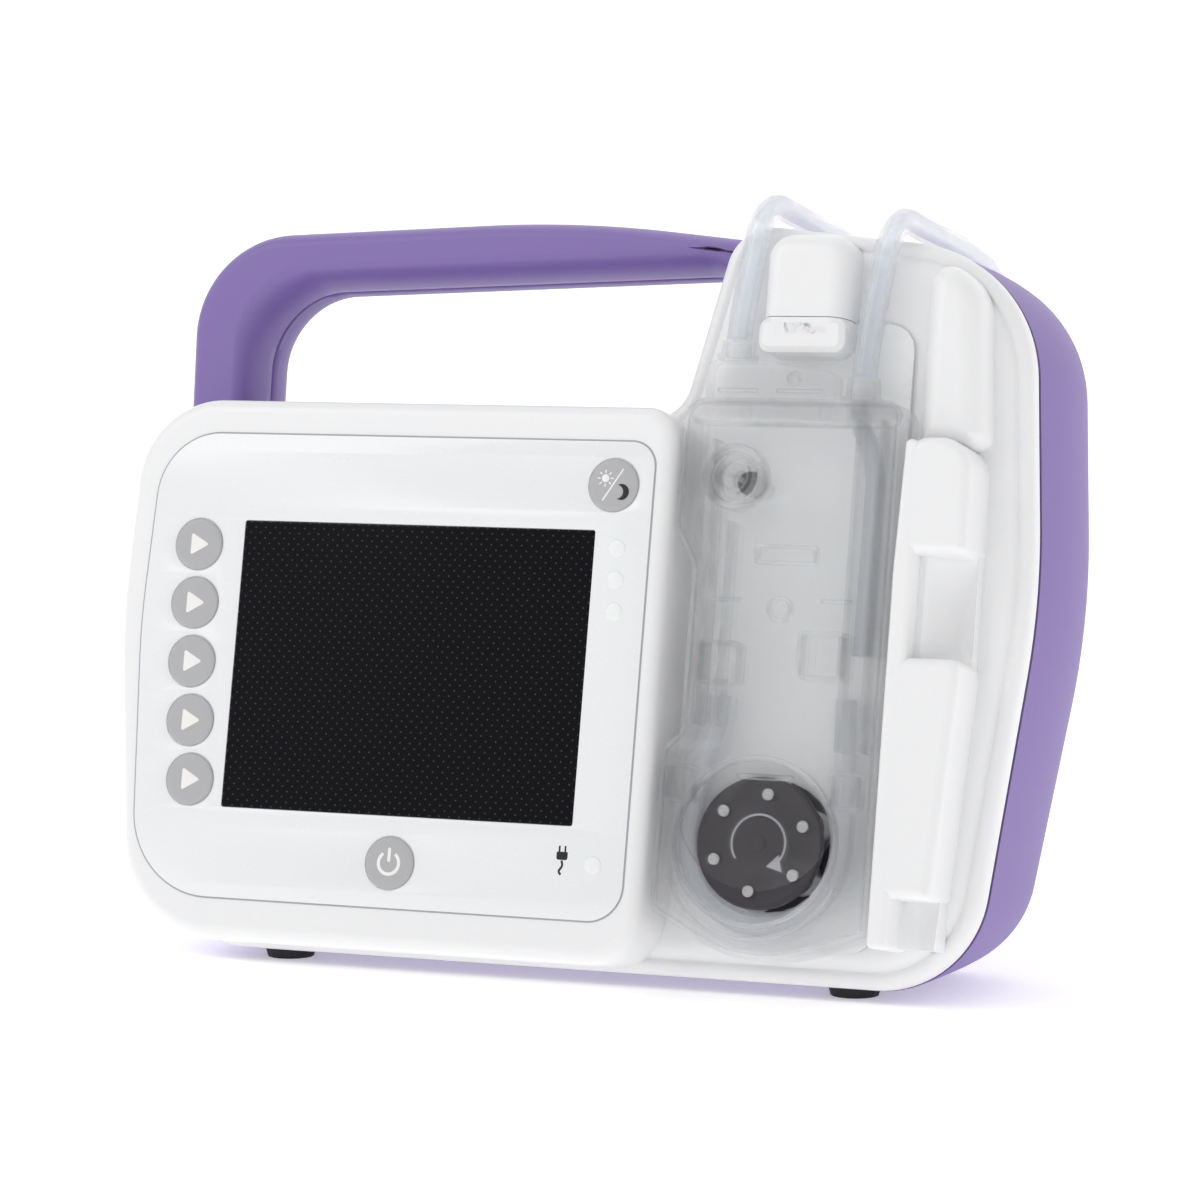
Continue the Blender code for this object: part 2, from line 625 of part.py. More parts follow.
def make_rear_shell(finish, parent):
    """Purple back half with the handle's rear half, hollow, with its battery opening and sound slots."""
    shell = make_rear_body("rear_shell", 0.0, finish, parent)
    handle_middle = HANDLE_FRONT_Y + HANDLE_DEPTH / 2
    handle_back = HANDLE_FRONT_Y + HANDLE_DEPTH
    bar = handle_half("handle_rear_guide", handle_middle + GAP / 2, handle_back, False, 0.0,
                      HANDLE_EDGE_ROUND, None,
                      parent)
    combine(shell, 'UNION', bar)
    depths = (REAR_START_Y - 0.005, 0.036, 0.044, 0.050, 0.054, DEPTH - WALL)
    rings = [ring(housing_corners(max(y, REAR_START_Y)), y, rear_inset(y) + WALL) for y in depths]
    hollow = loft("rear_hollow", rings, None, parent)
    door = door_corners()
    recess = slab("door_recess", door, DEPTH - DOOR_THICK - GAP, DEPTH + FAR, None, parent, inset=-GAP)
    opening = slab("door_opening", door, DEPTH - 2 * WALL, DEPTH + FAR, None, parent, inset=0.002)
    socket = drill("socket_cutter", [(*SOCKET_AT, SOCKET_RADIUS + GAP)], DEPTH - 2 * WALL, DEPTH + FAR,
                   parent)
    combine(shell, 'DIFFERENCE', hollow, recess, opening, socket, sound_slots(parent))


def sound_slots(parent):
    """Cutter with the upright slots in front of the speaker."""
    made = bmesh.new()
    for number in range(-2, 3):
        middle = Vector((SPEAKER_AT[0] + number * 0.0032, DEPTH, SPEAKER_AT[1] - 0.002))
        cube = bmesh.ops.create_cube(made, size=1.0)
        for vert in cube["verts"]:
            vert.co = Vector((vert.co.x * 0.0014, vert.co.y * 3 * WALL, vert.co.z * 0.010)) + middle
    return add_object("sound_slot_cutters", made, None, (0.0, 0.0, 0.0), parent)


def door_corners():
    """Corners of the battery door, a margin larger than the battery."""
    half_width = BATTERY_SIZE[0] / 2 + DOOR_MARGIN
    half_height = BATTERY_SIZE[2] / 2 + DOOR_MARGIN
    x, z = BATTERY_CENTRE
    return box_corners(x - half_width, z - half_height, x + half_width, z + half_height, 0.004)


def make_housing(finishes, parent):
    """The two shells and what closes them."""
    make_front_shell(finishes["white"], parent)
    make_rear_shell(finishes["purple"], parent)
    handle_middle = HANDLE_FRONT_Y + HANDLE_DEPTH / 2
    cover = handle_half("handle_front_cover", HANDLE_FRONT_Y, handle_middle - GAP / 2, True, 0.0,
                        HANDLE_EDGE_ROUND, finishes["purple"], parent)
    hollow = handle_half("handle_hollow", HANDLE_FRONT_Y + HANDLE_WALL, handle_middle + 0.002, True,
                         HANDLE_WALL,
                         HANDLE_EDGE_ROUND / 4, None, parent)
    body = make_rear_body("rear_body_cutter", GAP, None, parent)
    combine(cover, 'DIFFERENCE', hollow, body)

    outline = housing_corners()
    half = SEAL_THICK / 2
    rings = [ring(outline, PARTING_Y - half, GAP), ring(outline, PARTING_Y + half, GAP),
             ring(outline, PARTING_Y + half, GAP + SEAL_WIDTH),
             ring(outline, PARTING_Y - half, GAP + SEAL_WIDTH)]
    add_object("housing_seal", skin(rings, closed=True), finishes["dark_rubber"], (0.0, 0.0, 0.0), parent)

    make_bay_plate(finishes["white"], parent)
    make_back_fittings(finishes, parent)


def make_bay_plate(finish, parent):
    """Thin sheet on the floor of the bay, with the foot of the centre plateau."""
    left = DISPLAY_RIGHT + 0.0043
    corners = box_corners(left, SLAB_ROUND + 0.001, BAY_RIGHT - 0.0028, PLATEAU_BOTTOM + 0.0066, 0.005)
    plate = slab("bay_plate", corners, PLATE_Y, PLATE_Y + PLATE_THICK, finish, parent)
    foot = box_corners(PLATEAU_LEFT, PLATEAU_BOTTOM, PLATEAU_LEFT + PLATEAU_WIDTH, PLATEAU_BOTTOM + 0.0064,
                       0.002)
    foot_guide = slab("plateau_foot_guide", foot, PLATEAU_Y, PLATE_Y + PLATE_THICK / 2, None, parent,
                      edge=0.001)
    combine(plate, 'UNION', foot_guide)
    holes = drill("bay_hole_cutters", [(*ROTOR_AT, SHAFT_RADIUS + 0.003 + 2 * GAP),
                                       (*VALVE_AT, VALVE_DRIVE_RADIUS + RUNNING)], 0.005, FAR, parent,
                                       sides=16)
    combine(plate, 'DIFFERENCE', holes)


def make_back_fittings(finishes, parent):
    """Battery door and screw, clamp plate, power socket and feet."""
    screw_at = (BATTERY_CENTRE[0], BATTERY_CENTRE[1] + BATTERY_SIZE[2] / 2 + DOOR_MARGIN / 2 - 0.0004)
    door = slab("battery_cover", door_corners(), DEPTH - DOOR_THICK, DEPTH, finishes["purple"], parent)
    hole = drill("door_screw_cutter", [(*screw_at, 0.0017)], DEPTH - 0.004, DEPTH + FAR, parent, sides=12)
    combine(door, 'DIFFERENCE', hole)
    turned("battery_cover_screw", screw_at, ((0.0013, DEPTH - DOOR_THICK), (0.0013, DEPTH - GAP),
                                             (0.0010, DEPTH)), finishes["steel"], parent, sides=12)

    x, z = CLAMP_PLATE_AT
    width, thick, height = CLAMP_PLATE_SIZE
    corners = box_corners(x - width / 2, z - height / 2, x + width / 2, z + height / 2, 0.004)
    plate = slab("pole_clamp_plate", corners, DEPTH + GAP, DEPTH + GAP + thick, finishes["steel"], parent)
    bolts = [(x + sx * (width / 2 - 0.006), z + sz * (height / 2 - 0.006), 0.0022)
             for sx in (-1, 1) for sz in (-1, 1)]
    combine(plate, 'DIFFERENCE', drill("clamp_bolt_cutters", bolts, DEPTH, DEPTH + FAR, parent, sides=12))

    profile = ((SOCKET_RADIUS, DEPTH - 0.010), (SOCKET_RADIUS, DEPTH + 0.0006),
               (SOCKET_RADIUS - 0.0022, DEPTH + 0.0006),
               (SOCKET_RADIUS - 0.0022, DEPTH - 0.007), (0.0009, DEPTH - 0.007), (0.0006, DEPTH - 0.0004))
    turned("power_inlet", SOCKET_AT, profile, finishes["dark_rubber"], parent, sides=16)

    for number, (foot_x, foot_y) in enumerate([(x, y) for y in FOOT_Y for x in FOOT_X], start=1):
        make_foot(f"foot_{number}", foot_x, foot_y, finishes["dark_rubber"], parent)


def make_foot(name, x, y, finish, parent):
    """Round rubber foot, upright in the world, under the level underside of the rear shell."""
    top = Vector((x, y, (y - REAR_START_Y) * math.tan(LEAN)))
    made = bmesh.new()
    bmesh.ops.create_cone(made, cap_ends=True, segments=16, radius1=FOOT_RADIUS * 0.9, radius2=FOOT_RADIUS,
                          depth=FOOT_HEIGHT)
    foot = add_object(name, made, finish, (0.0, 0.0, 0.0), parent)
    foot.rotation_euler.x = LEAN
    down = Vector((0.0, math.sin(LEAN), -math.cos(LEAN)))
    foot.location = top + down * (GAP + FOOT_HEIGHT / 2)


# ---- Display, keys and electronics ----
def make_display(finishes, parent):
    """Front sheet, window, screen, keys, lights and boards."""
    sheet = slab("front_overlay", overlay_corners(), 0.0, OVERLAY_THICK, finishes["grey_sheet"], parent)
    bottom = WINDOW_TOP - WINDOW_HEIGHT
    window = box_corners(WINDOW_LEFT, bottom, WINDOW_LEFT + WINDOW_WIDTH, WINDOW_TOP, 0.001)
    opening = slab("window_opening", window, -FAR, FAR, None, parent, inset=-GAP)
    holes = [(x, z, KEY_RADIUS + GAP) for x, z in key_places()]
    holes += [(x, z, LIGHT_RADIUS + GAP) for x, z in light_places()]
    combine(sheet, 'DIFFERENCE', opening, drill("overlay_hole_cutters", holes, -FAR, FAR, parent, sides=16))
    slab("display_window", window, 0.0, OVERLAY_THICK, finishes["black_glass"], parent)

    lcd_low = (WINDOW_LEFT - LCD_MARGIN + 0.0006, FLANGE_Y, bottom - 2 * LCD_MARGIN + 0.0005)
    lcd_high = (WINDOW_LEFT + WINDOW_WIDTH + LCD_MARGIN - 0.0004, FLANGE_Y + LCD_THICK,
                WINDOW_TOP + LCD_MARGIN)
    block("lcd_module", lcd_low, lcd_high, finishes["steel"], parent, bevel=0.0004)

    keypad_y = FLANGE_Y + 0.0009 + KEY_TRAVEL + GAP
    board = slab("keypad_board", display_corners(), keypad_y, keypad_y + BOARD_THICK, finishes["board"],
                 parent,
                 inset=2 * WALL + 0.0006)
    margin = Vector((2 * GAP, FAR, 2 * GAP))
    lcd_hole = block("lcd_hole_cutter", Vector(lcd_low) - margin, Vector(lcd_high) + margin, None, parent)
    combine(board, 'DIFFERENCE', lcd_hole)
    slab("main_board", display_corners(), MAIN_BOARD_Y, MAIN_BOARD_Y + BOARD_THICK, finishes["board"],
         parent,
         inset=2 * WALL)

    names = [f"soft_key_{n + 1}" for n in range(5)] + ["day_night_key", "power_key"]
    for name, place in zip(names, key_places()):
        profile = ((KEY_RADIUS - 0.0007, -KEY_PROUD), (KEY_RADIUS, OVERLAY_THICK / 2),
                   (KEY_RADIUS, FLANGE_Y), (KEY_RADIUS + 0.0007, FLANGE_Y),
                   (KEY_RADIUS + 0.0007, FLANGE_Y + 0.0009))
        turned(name, place, profile, finishes["key_grey"], parent, sides=16)
    names = ["status_light_1", "status_light_2", "status_light_3", "mains_light"]
    for name, place in zip(names, light_places()):
        profile = ((LIGHT_RADIUS * 0.6, -0.0006), (LIGHT_RADIUS, OVERLAY_THICK / 2),
                   (LIGHT_RADIUS, FLANGE_Y), (LIGHT_RADIUS + 0.0005, FLANGE_Y),
                   (LIGHT_RADIUS + 0.0005, FLANGE_Y + 0.0008))
        turned(name, place, profile, finishes["lens"], parent, sides=12)

    half_width = BATTERY_SIZE[0] / 2
    half_height = BATTERY_SIZE[2] / 2
    back = DEPTH - WALL - 0.0020
    block("battery_pack", (BATTERY_CENTRE[0] - half_width, back - BATTERY_SIZE[1],
                           BATTERY_CENTRE[1] - half_height),
          (BATTERY_CENTRE[0] + half_width, back, BATTERY_CENTRE[1] + half_height), finishes["battery"],
          parent,
          bevel=0.002)
    back = DEPTH - WALL - 0.0010
    turned("speaker", SPEAKER_AT, ((SPEAKER_RADIUS * 0.6, back - 0.006), (SPEAKER_RADIUS, back - 0.003),
                                   (SPEAKER_RADIUS, back)), finishes["dark_rubber"], parent)


# ---- Drive ----
def make_drive(finishes, parent):
    """Motor, gearbox, shaft, rotor with its rollers, and the valve's drive."""
    flange_back = FLANGE_FRONT_Y + 0.0012
    shaft_front = ROTOR_FRONT_Y + ROTOR_PLATE_THICK + 2 * GAP
    gearbox_front = FLOOR_BACK_Y + GAP
    gearbox_back = gearbox_front + GEARBOX_LENGTH
    bore = SHAFT_RADIUS + GAP

    turned("gearbox", ROTOR_AT, ((bore, gearbox_front), (GEARBOX_RADIUS, gearbox_front),
                                 (GEARBOX_RADIUS, gearbox_back),
                                 (bore, gearbox_back)), finishes["steel"], parent, sides=24, hollow=True)
    motor_front = gearbox_back + GAP
    motor_back = motor_front + MOTOR_LENGTH
    turned("drive_motor", ROTOR_AT, ((MOTOR_RADIUS, motor_front), (MOTOR_RADIUS, motor_back),
                                     (0.004, motor_back),
                                     (0.004, motor_back + 0.0015)), finishes["steel"], parent, sides=24)
    turned("rotor_shaft", ROTOR_AT, ((SHAFT_RADIUS, shaft_front), (SHAFT_RADIUS, gearbox_back - 0.001)),
           finishes["steel"], parent, sides=16)
    bearing_front = FLOOR_Y + GAP
    turned("shaft_bearing", ROTOR_AT, ((bore, bearing_front), (SHAFT_RADIUS + 0.003, bearing_front),
                                       (SHAFT_RADIUS + 0.003, FLOOR_BACK_Y), (bore, FLOOR_BACK_Y)),
           finishes["steel"], parent, sides=20, hollow=True)
    turned("shaft_seal", ROTOR_AT, ((bore, PLATE_Y), (SHAFT_RADIUS + 0.003, PLATE_Y),
                                    (SHAFT_RADIUS + 0.003, FLOOR_Y), (bore, FLOOR_Y)),
           finishes["dark_rubber"], parent, sides=20, hollow=True)

    pin_holes = [(x, z, ROLLER_PIN_RADIUS + GAP) for x, z in roller_places()]
    plate = turned("rotor_face_plate", ROTOR_AT, ((ROTOR_DISC_RADIUS - 0.0004, ROTOR_FRONT_Y),
                                                  (ROTOR_DISC_RADIUS, ROTOR_FRONT_Y + 0.0004),
                                                  (ROTOR_DISC_RADIUS, ROTOR_FRONT_Y + ROTOR_PLATE_THICK)),
                   finishes["black"], parent, sides=24)
    combine(plate, 'DIFFERENCE', drill("plate_pin_cutters", pin_holes, 0.0, ROLLER_Y, parent, sides=12))
    core = ROLLER_CIRCLE - ROLLER_RADIUS - RUNNING
    hub = turned("rotor_hub", ROTOR_AT, ((bore, ROLLER_Y), (core, ROLLER_Y), (core, FLANGE_FRONT_Y),
                                         (ROTOR_DISC_RADIUS, FLANGE_FRONT_Y),
                                         (ROTOR_DISC_RADIUS, flange_back),
                                         (bore, flange_back)), finishes["black"], parent, sides=24,
                                         hollow=True)
    combine(hub, 'DIFFERENCE', drill("hub_pin_cutters", pin_holes, FLANGE_FRONT_Y - 0.001, 0.02, parent,
                                     sides=12))
    for number, place in enumerate(roller_places(), start=1):
        pin = ROLLER_PIN_RADIUS
        turned(f"roller_{number}", place, ((pin, ROTOR_FRONT_Y - ROLLER_PIN_PROUD), (pin, ROLLER_Y),
                                           (ROLLER_RADIUS, ROLLER_Y), (ROLLER_RADIUS, ROLLER_BACK_Y),
                                           (pin, ROLLER_BACK_Y), (pin, flange_back - 0.0002)),
               finishes["steel"], parent, sides=12)

    drive_front = CASSETTE_FRONT_Y + CASSETTE_PLATE + 0.0060
    valve_motor_front = FLOOR_BACK_Y + GAP
    valve_bore = VALVE_DRIVE_RADIUS + GAP
    turned("valve_drive", VALVE_AT, ((VALVE_DRIVE_RADIUS, drive_front),
                                     (VALVE_DRIVE_RADIUS, valve_motor_front + 0.008)),
           finishes["black"], parent, sides=16)
    turned("valve_motor", VALVE_AT, ((valve_bore, valve_motor_front), (0.008, valve_motor_front),
                                     (0.008, valve_motor_front + 0.016),
                                     (valve_bore, valve_motor_front + 0.016)),
           finishes["steel"], parent, sides=20, hollow=True)


# ---- Cassette ----
def make_cassette(finishes, parent):
    """Clear body, rotor cover, valve, pump tube and fittings."""
    outline = cassette_corners()
    back = PLATE_Y - 2 * GAP
    inner_front = CASSETTE_FRONT_Y + CASSETTE_PLATE
    body = slab("cassette_body", outline, CASSETTE_FRONT_Y, back, finishes["clear"], parent, edge=0.0004)
    hollow = slab("cassette_hollow", outline, inner_front, FAR, None, parent, inset=CASSETTE_WALL)
    hole_radius = PUMP_TUBE_CIRCLE + GAP
    combine(body, 'DIFFERENCE', hollow, drill("rotor_window_cutter", [(*ROTOR_AT, hole_radius)], -FAR,
                                              inner_front + 0.001, parent, sides=32))
    valve_ring = turned("valve_ring_guide", VALVE_AT, ((VALVE_RADIUS + 0.0019, CASSETTE_FRONT_Y - 0.0008),
                                                       (VALVE_RADIUS + 0.0019, inner_front + 0.002)), None,
                                                       parent)
    left_tube_x = CASSETTE_LEFT + CASSETTE_STEP_IN + TUBE_SIDE + CHANNEL_ROOM
    right_tube_x = ROTOR_AT[0] + PUMP_TUBE_CIRCLE - 0.0014
    left_rib = block("inlet_channel_guide", (left_tube_x - 0.002, inner_front - 0.001, PUMP_TUBE_TOP + GAP),
                     (left_tube_x + 0.003, inner_front + 0.0065, VALVE_AT[1] - VALVE_RADIUS), None, parent)
    right_rib = block("outlet_channel_guide",
                      (right_tube_x - 0.0025, inner_front - 0.001, PUMP_TUBE_TOP + GAP),
                      (right_tube_x + 0.0025, inner_front + 0.0065, CASSETTE_TOP - CASSETTE_WALL / 2), None,
                      parent)
    manifold = block("manifold_guide", (DISPLAY_RIGHT + 0.0026, CASSETTE_FRONT_Y + 0.004,
                                        CASSETTE_TOP - CASSETTE_WALL / 2),
                     (OUTLET_X - FITTING_RADIUS - 0.0013, back - GAP, CASSETTE_TOP + MANIFOLD_HEIGHT), None,
                     parent)
    combine(body, 'UNION', valve_ring, left_rib, right_rib, manifold)
    combine(body, 'DIFFERENCE', drill("valve_hole_cutter", [(*VALVE_AT, VALVE_RADIUS + GAP)], -FAR, FAR,
                                      parent))

    cover = turned("rotor_cover", ROTOR_AT,
                   ((hole_radius - GAP, CASSETTE_FRONT_Y), (hole_radius - GAP, inner_front)),
                   finishes["clear"], parent, sides=32)
    lens_centre = (ROTOR_AT[0], ROTOR_AT[1] + COVER_RISE)
    lens = turned("cover_edge_guide", lens_centre, ((COVER_DROP_RADIUS, -FAR), (COVER_DROP_RADIUS, FAR)),
                  None, parent,
                  sides=32)
    combine(cover, 'INTERSECT', lens)

    valve_back = inner_front + 0.0060 - GAP
    turned("cassette_valve", VALVE_AT, ((VALVE_RADIUS - 0.0008, CASSETTE_FRONT_Y - 0.0012),
                                        (VALVE_RADIUS, CASSETTE_FRONT_Y - 0.0006),
                                        (VALVE_RADIUS, inner_front + 0.003),
                                        (VALVE_DRIVE_RADIUS, valve_back)), finishes["clear"], parent)

    upright = CASSETTE_TOP + MANIFOLD_HEIGHT + GAP
    make_fitting("inlet_fitting", INLET_X, upright, INLET_FITTING_HEIGHT, finishes["clear"], parent)
    make_fitting("outlet_fitting", OUTLET_X, CASSETTE_TOP + GAP, OUTLET_FITTING_HEIGHT, finishes["clear"],
                 parent)
    make_pump_tube(left_tube_x, right_tube_x, finishes["silicone"], parent)


def make_fitting(name, x, bottom, height, finish, parent):
    """Upright tube socket on the cassette's top."""
    made = bmesh.new()
    bmesh.ops.create_cone(made, cap_ends=True, segments=16, radius1=FITTING_RADIUS,
                          radius2=FITTING_RADIUS * 0.88,
                          depth=height)
    bmesh.ops.translate(made, verts=made.verts, vec=(x, TUBE_Y, bottom + height / 2))
    add_object(name, made, finish, (x, TUBE_Y, bottom), parent)


def make_pump_tube(left_x, right_x, finish, parent):
    """Soft tube from one channel, under the rotor and up to the other."""
    depth = (ROLLER_Y + ROLLER_BACK_Y) / 2
    x, z = ROTOR_AT
    points = [(left_x + 0.0005, PUMP_TUBE_TOP), (left_x + 0.0002, PUMP_TUBE_TOP - 0.005)]
    points += [(x - PUMP_TUBE_CIRCLE + 0.0014, z + 0.0140), (x - PUMP_TUBE_CIRCLE + 0.0003, z + 0.0070)]
    points += [spun(ROTOR_AT, PUMP_TUBE_CIRCLE, math.pi * (1 + n / 12)) for n in range(13)]
    points += [(x + PUMP_TUBE_CIRCLE - 0.0001, z + 0.0070), (x + PUMP_TUBE_CIRCLE - 0.0006, z + 0.0140)]
    points += [(right_x + 0.0002, PUMP_TUBE_TOP - 0.005), (right_x, PUMP_TUBE_TOP)]
    tube_object("pump_tube", [(px, depth, pz) for px, pz in points], PUMP_TUBE_RADIUS, finish, parent)


# ---- Tubes ----
def tube_object(name, points, radius, finish, parent=None):
    """A round tube along points, with closed ends."""
    curve = bpy.data.curves.new(name, 'CURVE')
    curve.dimensions = '3D'
    curve.bevel_depth = radius
    curve.bevel_resolution = 2
    curve.use_fill_caps = True
    spline = curve.splines.new('POLY')
    spline.points.add(len(points) - 1)
    for slot, point in zip(spline.points, points):
        slot.co = (*point, 1.0)
    curve.materials.append(finish)
    made = bpy.data.objects.new(name, curve)
    bpy.context.collection.objects.link(made)
    made.parent = parent
    return made


def smooth_path(points, spacing):
    """Evenly spaced points on a centripetal Catmull-Rom curve through a route."""
    route = np.array(points, dtype=float)
    route = np.vstack((2 * route[0] - route[1], route, 2 * route[-1] - route[-2]))
    dense = []
    for i in range(1, len(route) - 2):
        p0, p1, p2, p3 = route[i - 1:i + 3]
        t1 = np.linalg.norm(p1 - p0) ** 0.5
        t2 = t1 + np.linalg.norm(p2 - p1) ** 0.5
        t3 = t2 + np.linalg.norm(p3 - p2) ** 0.5
        t = np.linspace(t1, t2, 24, endpoint=False)[:, None]
        a1 = (t1 - t) / t1 * p0 + t / t1 * p1
        a2 = (t2 - t) / (t2 - t1) * p1 + (t - t1) / (t2 - t1) * p2
        a3 = (t3 - t) / (t3 - t2) * p2 + (t - t2) / (t3 - t2) * p3
        b1 = (t2 - t) / t2 * a1 + t / t2 * a2
        b2 = (t3 - t) / (t3 - t1) * a2 + (t - t1) / (t3 - t1) * a3
        dense.append((t2 - t) / (t2 - t1) * b1 + (t - t1) / (t2 - t1) * b2)
    dense = np.vstack((*dense, route[-2]))
    along = np.concatenate(([0.0], np.cumsum(np.linalg.norm(np.diff(dense, axis=0), axis=1))))
    count = max(2, round(along[-1] / spacing) + 1)
    places = np.linspace(0.0, along[-1], count)
    return np.column_stack([np.interp(places, along, dense[:, k]) for k in range(3)])


def coil_solid(name, at, middle, layers, finish):
    """Closed ring round a coil of tube: flat on the ground, its layers stepping in as they stack."""
    half = COIL_HALF_WIDTH
    low = GAP
    first_top = low + TUBE_RADIUS * 1.8
    top = low + 2 * TUBE_RADIUS + (layers - 1) * LAYER_RISE
    narrow = half - (layers - 1) * TUBE_RADIUS
    profile = [(middle - half, low), (middle + half, low), (middle + half, first_top),
               (middle + narrow, top),
               (middle - narrow, top), (middle - half, first_top)]
    sides = 32
    rings = []
    for radius, z in profile:
        angles = [2 * math.pi * i / sides for i in range(sides)]
        rings.append([Vector((at[0] + radius * math.cos(a), at[1] + radius * math.sin(a), z))
                      for a in angles])
    return add_object(name, skin(rings, closed=True), finish, (at[0], at[1], 0.0), None)


def connector(name, start, heading, finish):
    """Stepped tube connector lying on the ground, along a heading (x, y)."""
    way = Vector((heading[0], heading[1], 0.0)).normalized()
    side = Vector((-way.y, way.x, 0.0))
    sides = 14
    rings = []
    for distance, radius in CONNECTOR_PROFILE:
        middle = Vector(start) + way * distance
        angles = [2 * math.pi * i / sides for i in range(sides)]
        rings.append([middle + side * radius * math.cos(a) + Vector((0, 0, radius * math.sin(a)))
                      for a in angles])
    return loft(name, rings, finish, None, origin=start)


def make_free_tube(line, route, coil_at, middle, layers, tail, heading, finishes):
    """One of the set's tubes: the stretch to its coil, the coil, the tail and the connector."""
    spacing = TUBE_STEP * 2 * TUBE_RADIUS
    tube_object(f"{line}_tube", smooth_path(route, spacing), TUBE_RADIUS, finishes["clear"])
    coil_solid(f"{line}_coil", coil_at, middle, layers, finishes["clear"])
    placed = [(coil_at[0] + x, coil_at[1] + y, z) for x, y, z in tail]
    tube_object(f"{line}_tail", smooth_path(placed, spacing / 3), TUBE_RADIUS, finishes["clear"])
    gap = Vector((heading[0], heading[1], 0.0)) * GAP
    end = Vector(placed[-1]) + gap
    connector(f"{line}_connector", (end.x, end.y, CONNECTOR_RADIUS + GAP), heading, finishes["purple"])


def lean_and_stand(stance):
    """Leans the panel back, then puts the middle of the pump's base at the world's origin."""
    stance.rotation_euler.x = -LEAN
    bpy.context.view_layer.update()
    graph = bpy.context.evaluated_depsgraph_get()
    low = np.full(3, np.inf)
    high = np.full(3, -np.inf)
    for piece in stance.children:
        if piece.hide_render:
            continue
        shape = piece.evaluated_get(graph)
        mesh = shape.to_mesh()
        spots = np.empty(3 * len(mesh.vertices))
        mesh.vertices.foreach_get("co", spots)
        matrix = np.array(shape.matrix_world)
        spots = spots.reshape(-1, 3) @ matrix[:3, :3].T + matrix[:3, 3]
        low = np.minimum(low, spots.min(axis=0))
        high = np.maximum(high, spots.max(axis=0))
        shape.to_mesh_clear()
    stance.location = (-(low[0] + high[0]) / 2, -(low[1] + high[1]) / 2, -low[2])
    bpy.context.view_layer.update()


def main():
    """Builds the whole pump."""
    for leftover in list(bpy.data.objects):
        bpy.data.objects.remove(leftover)
    finishes = {
        "white": material("white_abs", (0.84, 0.84, 0.83), 0.45),
        "grey_sheet": material("grey_sheet", (0.72, 0.72, 0.72), 0.5),
        "purple": material("purple_abs", (0.17, 0.09, 0.36), 0.4),
        "dark_rubber": material("dark_rubber", (0.02, 0.02, 0.022), 0.7),
        "black_glass": material("black_glass", (0.007, 0.007, 0.011), 0.08),
        "black": material("black_acetal", (0.015, 0.012, 0.014), 0.35),
        "key_grey": material("key_grey", (0.36, 0.36, 0.36), 0.5),
        "lens": material("light_lens", (0.85, 0.85, 0.84), 0.3),
        "board": material("circuit_board", (0.02, 0.12, 0.04), 0.5),
        "battery": material("battery_wrap", (0.05, 0.06, 0.09), 0.5),
        "steel": material("bright_steel", (0.6, 0.6, 0.62), 0.3, metallic=1.0),
        "clear": material("clear_plastic", (0.82, 0.84, 0.9), 0.08, alpha=0.3),
        "silicone": material("silicone", (0.8, 0.8, 0.8), 0.35, alpha=0.6),
    }
    stance = bpy.data.objects.new("stance", None)
    bpy.context.collection.objects.link(stance)
    make_housing(finishes, stance)
    make_display(finishes, stance)
    make_drive(finishes, stance)
    make_cassette(finishes, stance)
    lean_and_stand(stance)
    make_free_tube("inlet", INLET_ROUTE, INLET_COIL_AT, INLET_COIL_MIDDLE, 1, INLET_TAIL,
                   INLET_CONNECTOR_HEADING,
                   finishes)
    make_free_tube("outlet", OUTLET_ROUTE, OUTLET_COIL_AT, OUTLET_COIL_MIDDLE, 3, OUTLET_TAIL,
                   OUTLET_CONNECTOR_HEADING, finishes)


main()
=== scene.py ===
# %% [markdown]
# # A portable feeding pump, finished round its CAD frame
# The frame holds every solid of the pump in its real place. This lesson gives each visible piece its
# moulded shape and its material. The housing was drawn in a frame of its own: X to the right, Y into the
# pump and Z up the front panel, in millimetres, with the screen's face at Y = 0. The pump then leans back
# by the angle below.

# %% Load the frame
import math

import bmesh
import bpy
import numpy as np
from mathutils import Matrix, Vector


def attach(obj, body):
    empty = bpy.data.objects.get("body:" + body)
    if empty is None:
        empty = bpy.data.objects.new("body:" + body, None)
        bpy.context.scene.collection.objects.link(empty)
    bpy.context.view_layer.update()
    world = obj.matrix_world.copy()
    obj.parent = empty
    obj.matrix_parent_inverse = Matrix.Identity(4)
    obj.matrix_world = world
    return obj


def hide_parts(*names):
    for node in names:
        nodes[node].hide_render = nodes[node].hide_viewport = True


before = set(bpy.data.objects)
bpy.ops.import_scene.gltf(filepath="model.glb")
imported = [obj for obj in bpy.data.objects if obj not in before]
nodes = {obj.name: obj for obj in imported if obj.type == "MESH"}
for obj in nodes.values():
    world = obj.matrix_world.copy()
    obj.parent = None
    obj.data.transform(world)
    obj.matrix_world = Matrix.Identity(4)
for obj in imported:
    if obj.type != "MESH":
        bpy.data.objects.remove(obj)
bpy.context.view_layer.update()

# %% [markdown]
# ## From the panel to the room
# A moulder draws a housing square to its parting line, so that is how its numbers read best. One function
# then turns them by the lean and moves them to where the pump stands.

# %% The panel frame
LEAN = math.radians(11.94)
STANCE = np.array((-88.601, -42.875, 6.652))


def stand(points):
    """Panel millimetres to room metres: turn about X by the lean, then move by the stance."""
    p = np.asarray(points, float)
    y = p[..., 1] * math.cos(LEAN) + p[..., 2] * math.sin(LEAN)
    z = p[..., 2] * math.cos(LEAN) - p[..., 1] * math.sin(LEAN)
    return (np.stack((p[..., 0], y, z), -1) + STANCE) / 1000


# %% [markdown]
# ## The camera
# The camera comes first, because the tubes' hidden coils have to stay behind the pump. It stands a little
# to the right and slightly above, with a long lens, as for a catalogue.

